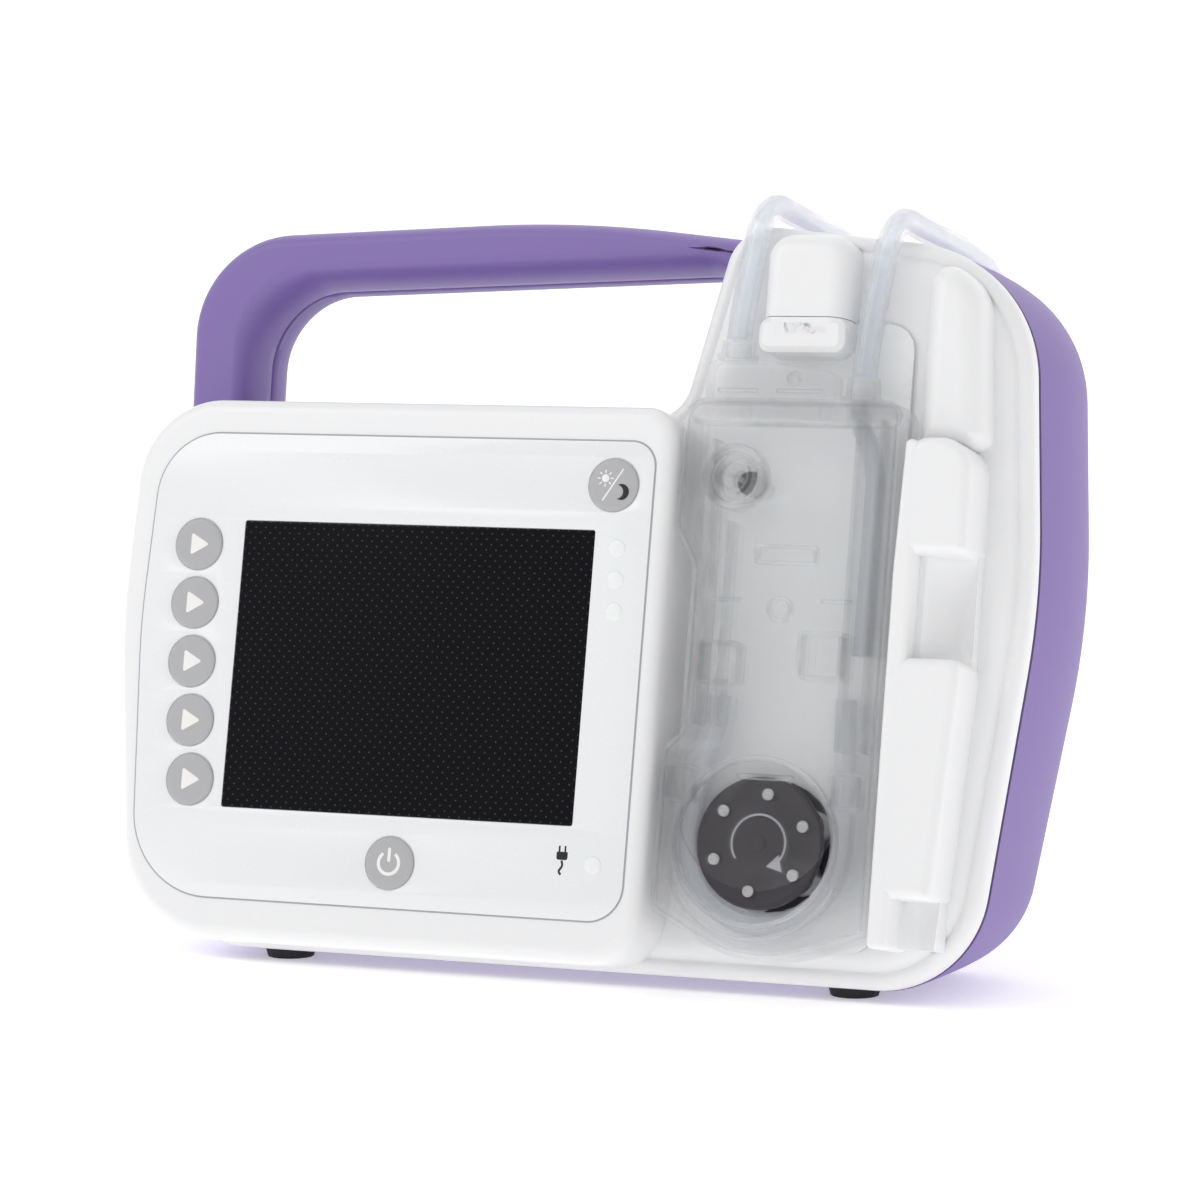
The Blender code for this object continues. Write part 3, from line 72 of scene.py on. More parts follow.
# %% The camera
CAMERA_AT, CAMERA_AIM, LENS_MM = (0.3170, -0.7775, 0.1429), (0.0120, -0.0288, 0.0729), 131.8
camera_data = bpy.data.cameras.new("camera")
camera_data.lens = LENS_MM
camera_data.sensor_width = 36.0
camera_data.clip_start = 0.01
camera = bpy.data.objects.new("camera", camera_data)
bpy.context.scene.collection.objects.link(camera)
camera.location = CAMERA_AT
aim = Vector(CAMERA_AIM) - camera.location
camera.rotation_euler = aim.to_track_quat('-Z', 'Y').to_euler()
bpy.context.scene.camera = camera
print("camera distance in mm:", round(aim.length * 1000))

# %% [markdown]
# ## Nodes and colours
# Colours are picked as sRGB hex, as on a paint card, and shaders work in linear light, so one function
# converts them. Another adds one shader node with its settings and links.


# %% Colour and node helpers
def linear(hex_colour):
    """sRGB hex to linear RGBA: each channel over 0.04045 is ((c + 0.055) / 1.055) to the power 2.4."""
    c = np.array([int(hex_colour[i:i + 2], 16) / 255 for i in (1, 3, 5)])
    c = np.where(c <= 0.04045, c / 12.92, ((c + 0.055) / 1.055) ** 2.4)
    return (*c.tolist(), 1.0)


def add(tree, kind, settings=None, **links):
    """One node of a kind. settings holds its properties and socket values, and links its inputs by name."""
    node = tree.nodes.new("ShaderNode" + kind)
    for name, value in (settings or {}).items():
        if name in node.inputs:
            node.inputs[name].default_value = value
        else:
            setattr(node, name, value)
    for name, source in links.items():
        tree.links.new(source, node.inputs[name.replace("_", " ")])
    return node


def finish_of(name, colour, roughness, **sockets):
    """A Principled material with constant sockets. Returns the material, its tree and its shader."""
    made = bpy.data.materials.new(name)
    made.use_nodes = True
    tree = made.node_tree
    shader = tree.nodes["Principled BSDF"]
    shader.inputs["Base Color"].default_value = linear(colour)
    shader.inputs["Roughness"].default_value = roughness
    for socket, value in sockets.items():
        shader.inputs[socket.replace("_", " ")].default_value = value
    return made, tree, shader


def grain(tree, shader, per_mm, height_mm, detail=2.0, strength=1.0):
    """Bump on the piece itself, from noise of so many cells per millimetre and so many millimetres high."""
    place = add(tree, "TexCoord")
    noise = add(tree, "TexNoise", {"Scale": per_mm * 1000, "Detail": detail},
                Vector=place.outputs["Object"])
    bump = add(tree, "Bump", {"Distance": height_mm / 1000, "Strength": strength},
               Height=noise.outputs["Fac"])
    tree.links.new(bump.outputs["Normal"], shader.inputs["Normal"])
    return noise


def mottle(tree, shader, noise, low, high):
    """Lets roughness wander between two values with a noise, as on a handled moulding."""
    spread = add(tree, "MapRange", {"To Min": low, "To Max": high}, Value=noise.outputs["Fac"])
    tree.links.new(spread.outputs["Result"], shader.inputs["Roughness"])


# %% [markdown]
# ## Finishes
# White and purple shells are injection moulded ABS: the white is polished in the mould, the purple has a
# fine spark-eroded grain. Both scatter a little light under the skin, which softens their shadows.

# %% Moulded ABS
white_abs, tree, shader = finish_of("white moulded ABS", "#f2f2f3", 0.32, IOR=1.53, Subsurface_Weight=0.08,
                                    Subsurface_Scale=0.002)
noise = grain(tree, shader, per_mm=1.2, height_mm=0.012)
mottle(tree, shader, noise, 0.28, 0.36)

purple_abs, tree, shader = finish_of("purple moulded ABS, spark-eroded", "#846eb0", 0.46, IOR=1.53,
                                     Subsurface_Weight=0.05, Subsurface_Scale=0.0015)
noise = grain(tree, shader, per_mm=3.0, height_mm=0.035, detail=3.0)
mottle(tree, shader, noise, 0.40, 0.52)

# %% [markdown]
# The front sheet is polyester film, printed on its back, so it is a shade cooler and glossier than the ABS.
# The screen is the same film over a dark panel. Its fine dots are the touch layer's spacers, 2 mm apart.


# %% Film and screen
def panel_axes(tree):
    """The piece's own coordinates in panel millimetres: moved back, turned by the lean and scaled by 1000."""
    place = add(tree, "TexCoord")
    moved = add(tree, "Mapping", {"vector_type": 'TEXTURE', "Location": tuple(STANCE / 1000),
                                  "Rotation": (-LEAN, 0.0, 0.0), "Scale": (0.001, 0.001, 0.001)},
                Vector=place.outputs["Object"])
    return add(tree, "SeparateXYZ", Vector=moved.outputs["Vector"])


def calc(tree, operation, a, b=0.0):
    """One Math node on sockets or numbers."""
    node = add(tree, "Math", {"operation": operation})
    for slot, value in zip(node.inputs, (a, b)):
        if isinstance(value, (int, float)):
            slot.default_value = value
        else:
            tree.links.new(value, slot)
    return node.outputs["Value"]


film, tree, shader = finish_of("back-printed polyester film", "#eff0f2", 0.26, IOR=1.57, Coat_Weight=0.25,
                               Coat_Roughness=0.12)
noise = grain(tree, shader, per_mm=2.0, height_mm=0.006)
mottle(tree, shader, noise, 0.22, 0.30)

screen, tree, shader = finish_of("dark touch screen under film", "#131318", 0.22, IOR=1.5,
                                 Specular_IOR_Level=0.12)
DOT_PITCH = 2.05
axes = panel_axes(tree)
half = DOT_PITCH / 2
across = calc(tree, 'DIVIDE', axes.outputs["X"], DOT_PITCH)
up = calc(tree, 'DIVIDE', axes.outputs["Z"], half)
row = calc(tree, 'FLOOR', up)
shift = calc(tree, 'MULTIPLY', calc(tree, 'MODULO', row, 2.0), 0.5)
column = calc(tree, 'FRACT', calc(tree, 'ADD', across, shift))
dx = calc(tree, 'MULTIPLY', calc(tree, 'SUBTRACT', column, 0.5), DOT_PITCH)
dz = calc(tree, 'MULTIPLY', calc(tree, 'SUBTRACT', calc(tree, 'FRACT', up), 0.5), half)
away = calc(tree, 'SQRT', calc(tree, 'ADD', calc(tree, 'MULTIPLY', dx, dx), calc(tree, 'MULTIPLY', dz, dz)))
dot = add(tree, "MapRange", {"From Min": 0.10, "From Max": 0.24, "To Min": 1.0, "To Max": 0.0}, Value=away)
mixed = add(tree, "Mix", {"data_type": 'RGBA'}, Factor=dot.outputs["Result"])
mixed.inputs[6].default_value = linear("#0e0e12")
mixed.inputs[7].default_value = linear("#3b3c44")
tree.links.new(mixed.outputs[2], shader.inputs["Base Color"])

# %% [markdown]
# The keys are silicone with a satin lacquer, and their symbols a paler print. The clear set is moulded from
# polycarbonate, with an IOR near 1.58 and a faint blue tint, and its tubes are soft PVC. Thin clear walls let
# most light straight through, which alpha gives, and bend only the rest at their edges. The rotor is black
# acetal, with a fine dull grain, on steel pins that are ground and so catch a soft streak of light.

# %% The other finishes
key_grey, tree, shader = finish_of("lacquered grey silicone key", "#b4b4b6", 0.38, IOR=1.45)
noise = grain(tree, shader, per_mm=4.0, height_mm=0.010)
mottle(tree, shader, noise, 0.34, 0.46)

pale_print, tree, shader = finish_of("pale printed symbol", "#f3f1ee", 0.42)
grain(tree, shader, per_mm=3.0, height_mm=0.004)
dark_print, tree, shader = finish_of("dark printed symbol", "#1b1a1d", 0.40)
grain(tree, shader, per_mm=3.0, height_mm=0.004)
# This grey is painted light only: painted shade in the gap round the front sheet, and a painted highlight on
# the rotor's raised arrow.
grey_painted_shade_and_highlight, tree, shader = finish_of("grey painted shade and highlight", "#a9abae", 0.45)
grain(tree, shader, per_mm=3.0, height_mm=0.004)

lens, tree, shader = finish_of("frosted lamp lens", "#f4f4f3", 0.30, IOR=1.49, Subsurface_Weight=0.3,
                               Subsurface_Scale=0.001)
grain(tree, shader, per_mm=3.0, height_mm=0.008)

polycarbonate, tree, shader = finish_of("clear moulded polycarbonate", "#fafbfd", 0.05, IOR=1.58, Alpha=0.3,
                                        Transmission_Weight=0.85)
grain(tree, shader, per_mm=0.25, height_mm=0.03)
clear_window, tree, shader = finish_of("thin clear polycarbonate window", "#fafbfd", 0.05, IOR=1.58,
                                       Alpha=0.12, Transmission_Weight=0.95)
grain(tree, shader, per_mm=0.25, height_mm=0.02)
soft_pvc, tree, shader = finish_of("clear extruded soft PVC", "#eef3fa", 0.12, IOR=1.53, Alpha=0.4,
                                   Transmission_Weight=0.7)
grain(tree, shader, per_mm=0.4, height_mm=0.02)
silicone, tree, shader = finish_of("clouded silicone tube", "#eef0f4", 0.28, IOR=1.41,
                                   Transmission_Weight=0.7)
grain(tree, shader, per_mm=1.5, height_mm=0.01)

acetal, tree, shader = finish_of("black moulded acetal", "#343036", 0.42, IOR=1.48)
noise = grain(tree, shader, per_mm=6.0, height_mm=0.05, detail=4.0)
mottle(tree, shader, noise, 0.36, 0.52)
steel, tree, shader = finish_of("ground stainless steel", "#c9c9cb", 0.26, Metallic=1.0)
noise = grain(tree, shader, per_mm=8.0, height_mm=0.004)
mottle(tree, shader, noise, 0.20, 0.34)
rubber, tree, shader = finish_of("moulded black rubber", "#1c1b1e", 0.62, IOR=1.52)
grain(tree, shader, per_mm=5.0, height_mm=0.02)
board, tree, shader = finish_of("green solder mask on glass epoxy", "#1d5b33", 0.38)
grain(tree, shader, per_mm=2.0, height_mm=0.02)
sleeve, tree, shader = finish_of("blue shrink sleeve", "#25325a", 0.30, IOR=1.5)
grain(tree, shader, per_mm=0.3, height_mm=0.05)
print("finishes:", len([m for m in bpy.data.materials if m.use_nodes]))

# %% Every CAD solid gets its real finish
FINISH_OF_NODE = {
    white_abs: ("front_shell", "bay_plate"),
    purple_abs: ("rear_shell", "handle_front_cover", "battery_cover", "inlet_connector",
                 "outlet_connector"),
    film: ("front_overlay",),
    screen: ("display_window",),
    key_grey: ("day_night_key", "power_key", *(f"soft_key_{n}" for n in range(1, 6))),
    lens: ("status_light_1", "status_light_2", "status_light_3", "mains_light"),
    polycarbonate: ("cassette_body", "cassette_valve", "inlet_fitting", "outlet_fitting"),
    clear_window: ("rotor_cover",),
    soft_pvc: ("inlet_tube", "inlet_coil", "inlet_tail", "outlet_tube", "outlet_coil", "outlet_tail"),
    silicone: ("pump_tube",),
    acetal: ("rotor_hub", "rotor_face_plate", "valve_drive"),
    steel: ("rotor_shaft", "shaft_bearing", "drive_motor", "gearbox", "valve_motor", "battery_cover_screw",
            "pole_clamp_plate", "lcd_module", *(f"roller_{n}" for n in range(1, 7))),
    rubber: ("housing_seal", "shaft_seal", "power_inlet", "speaker", *(f"foot_{n}" for n in range(1, 5))),
    board: ("keypad_board", "main_board"),
    sleeve: ("battery_pack",),
}
for finish, names in FINISH_OF_NODE.items():
    for name in names:
        mesh = nodes[name].data
        mesh.materials.clear()
        mesh.materials.append(finish)
print("nodes with a finish:", sum(len(names) for names in FINISH_OF_NODE.values()), "of", len(nodes))

# %% [markdown]
# ## Surfaces from outlines
# Most mouldings here are one outline carried through a few depths, drawn in a little at each, which is also
# how a toolmaker cuts a rounded edge. An outline is a polygon whose corners are arcs. Every depth has the
# same number of points, so the rings join into one grid of quads.


# %% Outlines
def outline(corners, inset=0.0, arc=14, run=8):
    """Points (x, z) round a polygon of (x, z, radius) corners, moved in by inset.
    Each corner is an arc of its radius about a centre on the bisector; straight runs get points between."""
    c = np.asarray(corners, float)
    p, radius = c[:, :2], c[:, 2]
    ahead = np.roll(p, -1, 0) - p
    ahead /= np.linalg.norm(ahead, axis=1, keepdims=True)
    behind = np.roll(ahead, 1, 0)
    n_ahead = np.stack((-ahead[:, 1], ahead[:, 0]), -1)
    n_behind = np.roll(n_ahead, 1, 0)
    moved = p + (n_ahead + n_behind) * (inset / (1 + (n_ahead * n_behind).sum(1)))[:, None]
    turn = np.arctan2(behind[:, 0] * ahead[:, 1] - behind[:, 1] * ahead[:, 0], (behind * ahead).sum(1))
    tangent = np.tan(np.abs(turn) / 2)
    side = np.linalg.norm(np.roll(moved, -1, 0) - moved, axis=1)
    room = 0.49 * np.minimum(side, np.roll(side, 1))
    radius = np.maximum(0.02, np.minimum(radius - np.sign(turn) * inset, room / tangent))
    centre = moved - behind * (radius * tangent)[:, None] + n_behind * (np.sign(turn) * radius)[:, None]
    start = -n_behind * (np.sign(turn) * radius)[:, None]
    angle = turn[:, None] * np.linspace(0, 1, arc + 1)
    cos, sin = np.cos(angle), np.sin(angle)
    arcs = np.stack((start[:, :1] * cos - start[:, 1:] * sin, start[:, :1] * sin + start[:, 1:] * cos), -1)
    arcs += centre[:, None]
    share = np.linspace(0, 1, run + 2)[None, 1:-1, None]
    runs = arcs[:, -1:] + (np.roll(arcs[:, :1], -1, 0) - arcs[:, -1:]) * share
    return np.concatenate((arcs, runs), 1).reshape(-1, 2)


def ring(corners, y, inset=0.0, **spacing):
    """An outline at depth y, as points in the panel frame."""
    flat = outline(corners, inset, **spacing)
    return np.stack((flat[:, 0], np.full(len(flat), float(y)), flat[:, 1]), -1)


# %% [markdown]
# A grid of points becomes a mesh in one step. Its columns close into a loop, its first and last rows are
# capped, and faces more than 35 degrees apart keep a crisp edge between them.


# %% Grids to meshes
def make(name, verts, faces, finish, body, stands_for=(), slot=None, sharp=35.0):
    """A mesh piece at the origin from room-frame points, with outward faces, riding on a body."""
    mesh = bpy.data.meshes.new(name)
    mesh.from_pydata(np.asarray(verts, float).tolist(), [], faces)
    work = bmesh.new()
    work.from_mesh(mesh)
    bmesh.ops.recalc_face_normals(work, faces=work.faces)
    work.to_mesh(mesh)
    work.free()
    mesh.shade_smooth()
    mesh.set_sharp_from_angle(angle=math.radians(sharp))
    mesh.materials.append(finish)
    piece = bpy.data.objects.new(name, mesh)
    bpy.context.scene.collection.objects.link(piece)
    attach(piece, body)
    if stands_for:
        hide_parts(*stands_for)
    return piece


def grid_faces(rows, columns, wrap_rows=False, caps=True):
    """Quads of a grid whose columns wrap round; the end rows are closed with one face each, or joined."""
    r = np.arange(rows if wrap_rows else rows - 1)[:, None]
    c = np.arange(columns)[None, :]
    below, above = r * columns, ((r + 1) % rows) * columns
    after = (c + 1) % columns
    quads = np.stack(np.broadcast_arrays(below + c, below + after, above + after, above + c), -1)
    faces = quads.reshape(-1, 4).tolist()
    if caps and not wrap_rows:
        faces.append(list(range(columns))[::-1])
        faces.append(list(range((rows - 1) * columns, rows * columns)))
    return faces


def skin(name, rows, finish, body, wrap_rows=False, panel=True, **rest):
    """A closed piece through rows of points (rows, columns, 3), in the panel frame unless panel is
    False."""
    rows = np.asarray(rows, float)
    flat = rows.reshape(-1, 3)
    verts = stand(flat) if panel else flat
    return make(name, verts, grid_faces(rows.shape[0], rows.shape[1], wrap_rows), finish, body, **rest)


def moulded(name, corners, levels, finish, body, spacing=None, **rest):
    """An outline carried through (depth, inset) levels, back to front, and one more loop at each end."""
    spacing = spacing or {}
    levels = [(levels[0][0], levels[0][1] + 0.25)] + list(levels) + [(levels[-1][0], levels[-1][1] + 0.25)]
    rows = [ring(corners, y, inset, **spacing) for y, inset in levels]
    return skin(name, rows, finish, body, **rest)


def round_edge(front, radius, steps=7, depth=None):
    """Levels of a rounded front edge: a quarter of an ellipse from the side to the face."""
    t = np.linspace(0, math.pi / 2, steps)
    depth = radius if depth is None else depth
    return [(front + depth * (1 - math.sin(a)), radius * (1 - math.cos(a))) for a in t]


def turned(name, at, profile, finish, body, sides=64, wrap_rows=False, **rest):
    """A piece turned about a Y axis through (x, z): each (radius, depth) of the profile sweeps a circle."""
    a = np.linspace(0, 2 * math.pi, sides, endpoint=False)
    prof = np.asarray(profile, float)
    rows = np.stack((at[0] + prof[:, :1] * np.cos(a), np.broadcast_to(prof[:, 1:], (len(prof), sides)),
                     at[1] + prof[:, :1] * np.sin(a)), -1)
    return skin(name, rows, finish, body, wrap_rows=wrap_rows, **rest)


# %% [markdown]
# ## The set's tubes
# The tubes are free, limp PVC, 4.8 mm outside with a 3 mm bore. They leave the cassette upwards, arch over
# the case and come down behind it, where the rest is wound flat on the table. A smooth curve through a few
# given points gives the free part, and a spiral with one diameter between its turns gives the coil.
# Carrying a circle along the path keeps the bore open, which a plain bevelled curve would fill.

# %% The tubes' routes, in metres
TUBE_RADIUS, TUBE_BORE = 0.0024, 0.0015
TUBE_ROOM = 2 * TUBE_RADIUS
REST, PATH_STEP = 0.0027, 0.0018
INLET_ROUTE = (
    (0.0316, -0.0080, 0.1205), (0.0317, -0.0072, 0.1238), (0.0323, -0.0056, 0.1297),
    (0.0330, -0.0036, 0.1366),
    (0.0336, -0.0016, 0.1423), (0.0346, 0.0034, 0.1453), (0.0358, 0.0110, 0.1437), (0.0372, 0.0204, 0.1414),
    (0.0386, 0.0311, 0.1390), (0.0395, 0.0395, 0.1354), (0.0400, 0.0449, 0.1288), (0.0402, 0.0467, 0.1206),
    (0.0400, 0.0485, 0.0980), (0.0393, 0.0500, 0.0700), (0.0383, 0.0508, 0.0430), (0.0365, 0.0515, 0.0210),
    (0.0335, 0.0530, 0.0080), (0.0270, 0.0556, 0.0029), (0.0160, 0.0566, 0.0027), (0.0015, 0.0567, 0.0027),
)
OUTLET_ROUTE = (
    (0.0567, -0.0094, 0.1139), (0.0568, -0.0086, 0.1175), (0.0574, -0.0067, 0.1248),
    (0.0582, -0.0046, 0.1322),
    (0.0591, -0.0030, 0.1385), (0.0603, 0.0018, 0.1427), (0.0616, 0.0098, 0.1410), (0.0632, 0.0192, 0.1388),
    (0.0647, 0.0300, 0.1366), (0.0658, 0.0384, 0.1329), (0.0662, 0.0441, 0.1250), (0.0664, 0.0461, 0.1167),
    (0.0655, 0.0480, 0.0950), (0.0635, 0.0495, 0.0660), (0.0605, 0.0510, 0.0400), (0.0560, 0.0520, 0.0200),
    (0.0500, 0.0518, 0.0085), (0.0420, 0.0500, 0.0030), (0.0300, 0.0475, 0.0027), (0.0100, 0.0460, 0.0027),
    (-0.0150, 0.0460, 0.0027), (-0.0380, 0.0475, 0.0027), (-0.0540, 0.0505, 0.0027),
    (-0.0610, 0.0515, 0.0027),
    (-0.0672, 0.0517, 0.0027),
)
INLET_TAIL = ((-0.0100, -0.0094, 0.0027), (-0.0095, -0.0076, 0.0035), (-0.0089, -0.0059, 0.0042),
              (-0.0085, -0.0047, 0.0043))
OUTLET_TAIL = ((-0.0162, -0.0074, 0.0088), (-0.0149, -0.0044, 0.0070), (-0.0124, -0.0014, 0.0048),
               (-0.0100, 0.0009, 0.0043))


def smooth_path(points, step):
    """Even points on a Catmull-Rom curve: a span blends four neighbours with cubic weights of its share t."""
    p = np.asarray(points, float)
    p = np.vstack((2 * p[0] - p[1], p, 2 * p[-1] - p[-2]))
    t = np.linspace(0, 1, 24, endpoint=False)[:, None, None]
    a, b, c, d = p[None, :-3], p[None, 1:-2], p[None, 2:-1], p[None, 3:]
    spans = 0.5 * (2 * b + (c - a) * t + (2 * a - 5 * b + 4 * c - d) * t ** 2
                   + (3 * b - a - 3 * c + d) * t ** 3)
    dense = np.vstack((spans.transpose(1, 0, 2).reshape(-1, 3), p[-2]))
    run = np.concatenate(([0], np.cumsum(np.linalg.norm(np.diff(dense, axis=0), axis=1))))
    even = np.linspace(0, run[-1], int(run[-1] / step) + 1)
    return np.stack([np.interp(even, run, dense[:, k]) for k in range(3)], -1)


def wound(centre, outer, layers, turns=2.0, rest=REST, step=0.03):
    """A flat coil wound clockwise from its nearest point: the radius moves a diameter a turn, inwards
    on even layers and outwards on odd ones, and an S-shaped rise of one diameter joins the layers."""
    f = np.arange(step, turns * layers + step / 2, step)
    layer = np.minimum(np.floor(f / turns), layers - 1)
    into = f - layer * turns
    radius = outer - TUBE_ROOM * np.where(layer % 2 == 0, into, turns - into)
    height = np.full(len(f), rest)
    for n in range(1, layers):
        share = np.clip((f - n * turns + 0.08) / 0.22, 0, 1)
        height += TUBE_ROOM * share ** 2 * (3 - 2 * share)
    angle = -math.pi / 2 - 2 * math.pi * f
    return np.stack((centre[0] + radius * np.cos(angle), centre[1] + radius * np.sin(angle), height), -1)


def carried(path, radius, bore, sides=14):
    """Rows of a hollow tube: at each point a circle in the plane across the path, turned as little as
    possible from the one before. Outer rows run forwards and bore rows back, so the grid closes."""
    path = np.asarray(path, float)
    ahead = np.gradient(path, axis=0)
    ahead /= np.linalg.norm(ahead, axis=1, keepdims=True)
    side = np.cross(ahead[0], (0.0, 1.0, 0.2))
    sides_of = []
    for way in ahead:
        side = side - way * (side @ way)
        side = side / np.linalg.norm(side)
        sides_of.append(side)
    u = np.array(sides_of)
    v = np.cross(ahead, u)
    a = np.linspace(0, 2 * math.pi, sides, endpoint=False)
    wheel = u[:, None] * np.cos(a)[None, :, None] + v[:, None] * np.sin(a)[None, :, None]
    return np.concatenate((path[:, None] + radius * wheel, (path[:, None] + bore * wheel)[::-1]))


def tail_points(centre, tail):
    """A tail's points, given about its coil's centre."""
    return np.asarray(tail, float) + (*centre, 0.0)


# %% The inlet tube
INLET_COIL, INLET_OUTER = (-0.0170, 0.0855), 0.0288
turn_in = np.radians(np.arange(-100, -176, -15))
INNER_TURN = 0.010
quarter = np.stack((INNER_TURN * np.cos(turn_in), -0.0092 + INNER_TURN * np.sin(turn_in),
                    np.full(len(turn_in), REST)), -1)
inlet_path = smooth_path(np.vstack((INLET_ROUTE[:-1], (*np.add(INLET_COIL, (0, -INLET_OUTER)), REST),
                                    wound(INLET_COIL, INLET_OUTER, 1), tail_points(INLET_COIL, quarter),
                                    tail_points(INLET_COIL, INLET_TAIL))), PATH_STEP)
inlet = skin("inlet_line", carried(inlet_path, TUBE_RADIUS, TUBE_BORE), soft_pvc, "housing", wrap_rows=True,
             panel=False, stands_for=("inlet_tube", "inlet_coil", "inlet_tail"))

# %% The outlet tube
OUTLET_COIL, OUTLET_OUTER = (-0.0860, 0.0825), 0.0308
leave = ((-0.0068, -0.0191, 0.0121), (-0.0122, -0.0147, 0.0113), (-0.0154, -0.0098, 0.0101))
outlet_path = smooth_path(np.vstack((OUTLET_ROUTE[:-1], (*np.add(OUTLET_COIL, (0, -OUTLET_OUTER)), REST),
                                     wound(OUTLET_COIL, OUTLET_OUTER, 3), tail_points(OUTLET_COIL, leave),
                                     tail_points(OUTLET_COIL, OUTLET_TAIL[1:]))), PATH_STEP)
outlet = skin("outlet_line", carried(outlet_path, TUBE_RADIUS, TUBE_BORE), soft_pvc, "housing",
              wrap_rows=True, panel=False, stands_for=("outlet_tube", "outlet_coil", "outlet_tail"))

# %% [markdown]
# Each coil is held by a soft band, a rounded rectangle round its turns swept along a short stretch.


# %% The coil ties
def tie(name, centre, inner, outer, top, width=0.005, wall=0.0006):
    """A closed band: a rounded rectangle round the turns, a superellipse of power 6, at two walls."""
    a = np.linspace(0, 2 * math.pi, 48, endpoint=False)
    middle, low = (inner + outer) / 2, 0.0002
    c, s = np.cos(a), np.sin(a)
    reach = (np.abs(c) ** 6 + np.abs(s) ** 6) ** (-1 / 6)
    rows = []
    for along, grow in ((-width / 2, 0.0), (-width / 2, wall), (width / 2, wall), (width / 2, 0.0)):
        half_y, half_z = (outer - inner) / 2 + grow, (top - low) / 2 + grow
        y = centre[1] + middle + half_y * reach * c
        z = np.maximum((top + low) / 2 + half_z * reach * s, 0.0001 + 0.0001 * (grow == 0))
        rows.append(np.stack((np.full(48, centre[0] + along), y, z), -1))
    return skin(name, rows, rubber, "housing", wrap_rows=True, panel=False)


inlet_tie = tie("inlet_tie", INLET_COIL, 0.0190, 0.0290, 0.0053)
outlet_tie = tie("outlet_tie", OUTLET_COIL, 0.0210, 0.0310, 0.0149)

# %% [markdown]
# ## Flat parts
# Labels, symbols, plates and ribs are flat shapes with a thickness. A filled curve finds the face between
# an outline and its holes, and its bevel softens the edge. It is made a mesh before it is stood in its
# place.


# %% Plates and their outlines
def plate(name, loops, front, back, finish, body, soft=0.12, **rest):
    """A plate between two depths in panel mm: one or more outlines (x, z) and the holes inside them."""
    curve = bpy.data.curves.new(name + "_curve", 'CURVE')
    curve.dimensions = '2D'
    curve.fill_mode = 'BOTH'
    soft = min(soft, (back - front) * 0.45)
    curve.extrude = (back - front) / 2 - soft
    curve.bevel_depth = soft
    curve.offset = -soft
    curve.bevel_resolution = 1
    for loop in loops:
        loop = np.asarray(loop, float)
        spline = curve.splines.new('POLY')
        spline.points.add(len(loop) - 1)
        spline.points.foreach_set("co", np.column_stack((loop, np.zeros(len(loop)),
                                                         np.ones(len(loop)))).ravel())
        spline.use_cyclic_u = True
    holder = bpy.data.objects.new(name + "_curve", curve)
    mesh = bpy.data.meshes.new_from_object(holder)
    work = bmesh.new()
    work.from_mesh(mesh)
    bmesh.ops.remove_doubles(work, verts=work.verts, dist=0.002)
    bmesh.ops.dissolve_degenerate(work, edges=work.edges, dist=0.001)
    flat = np.array([v.co[:] for v in work.verts])
    faces = [[v.index for v in face.verts] for face in work.faces]
    work.free()
    bpy.data.objects.remove(holder)
    bpy.data.curves.remove(curve)
    bpy.data.meshes.remove(mesh)
    placed = np.stack((flat[:, 0], (front + back) / 2 + flat[:, 2], flat[:, 1]), -1)
    return make(name, stand(placed), faces, finish, body, **rest)


def circle(at, radius, sides=48):
    """Points round a circle."""
    a = np.linspace(0, 2 * math.pi, sides, endpoint=False)
    return np.stack((at[0] + radius * np.cos(a), at[1] + radius * np.sin(a)), -1)


def arc_band(at, inner, outer, start, end, steps=40):
    """A stretch of ring between two radii and two angles in degrees."""
    a = np.radians(np.linspace(start, end, steps))
    out = np.stack((np.cos(a), np.sin(a)), -1)
    return np.concatenate((out * outer, out[::-1] * inner)) + at


def ribbon(points, width):
    """A flat band along a line: each point moved half the width to either side of the line's direction."""
    p = np.asarray(points, float)
    way = np.gradient(p, axis=0)
    way /= np.linalg.norm(way, axis=1, keepdims=True)
    side = np.stack((-way[:, 1], way[:, 0]), -1) * width / 2
    return np.concatenate((p + side, (p - side)[::-1]))


def panel_box(x0, z0, x1, z1, radius=0.5, inset=0.0):
    """An upright rectangle with rounded corners."""
    return outline(((x0, z0, radius), (x1, z0, radius), (x1, z1, radius), (x0, z1, radius)), inset, arc=6,
                   run=1)


def frame_of(x0, z0, x1, z1, wall, radius=1.0):
    """A rectangular rib: its outline and the hole inside it."""
    return [panel_box(x0, z0, x1, z1, radius), panel_box(x0, z0, x1, z1, radius, wall)]


def carve(piece, *cutters):
    """Cuts closed pieces out of another with an exact Boolean, and removes the cutters."""
    for cutter in cutters:
        cut = piece.modifiers.new("cut", 'BOOLEAN')
        cut.operation = 'DIFFERENCE'
        cut.solver = 'EXACT'
        cut.object = cutter
    depsgraph = bpy.context.evaluated_depsgraph_get()
    mesh = bpy.data.meshes.new_from_object(piece.evaluated_get(depsgraph))
    piece.modifiers.clear()
    piece.data = mesh
    mesh.set_sharp_from_angle(angle=math.radians(35))
    for cutter in cutters:
        bpy.data.objects.remove(cutter)


def cutter(name, loops, front, back):
    """A plain plate used only to cut with."""
    return plate(name, loops, front, back, white_abs, "housing", soft=0.001)


# %% [markdown]
# ## The housing's outline
# Front and rear shell share one outline at the parting line: a broad round-cornered case whose right side
# rises into a hump for the tubes. Behind the parting line its sides swell and its underside levels out for
# the feet.

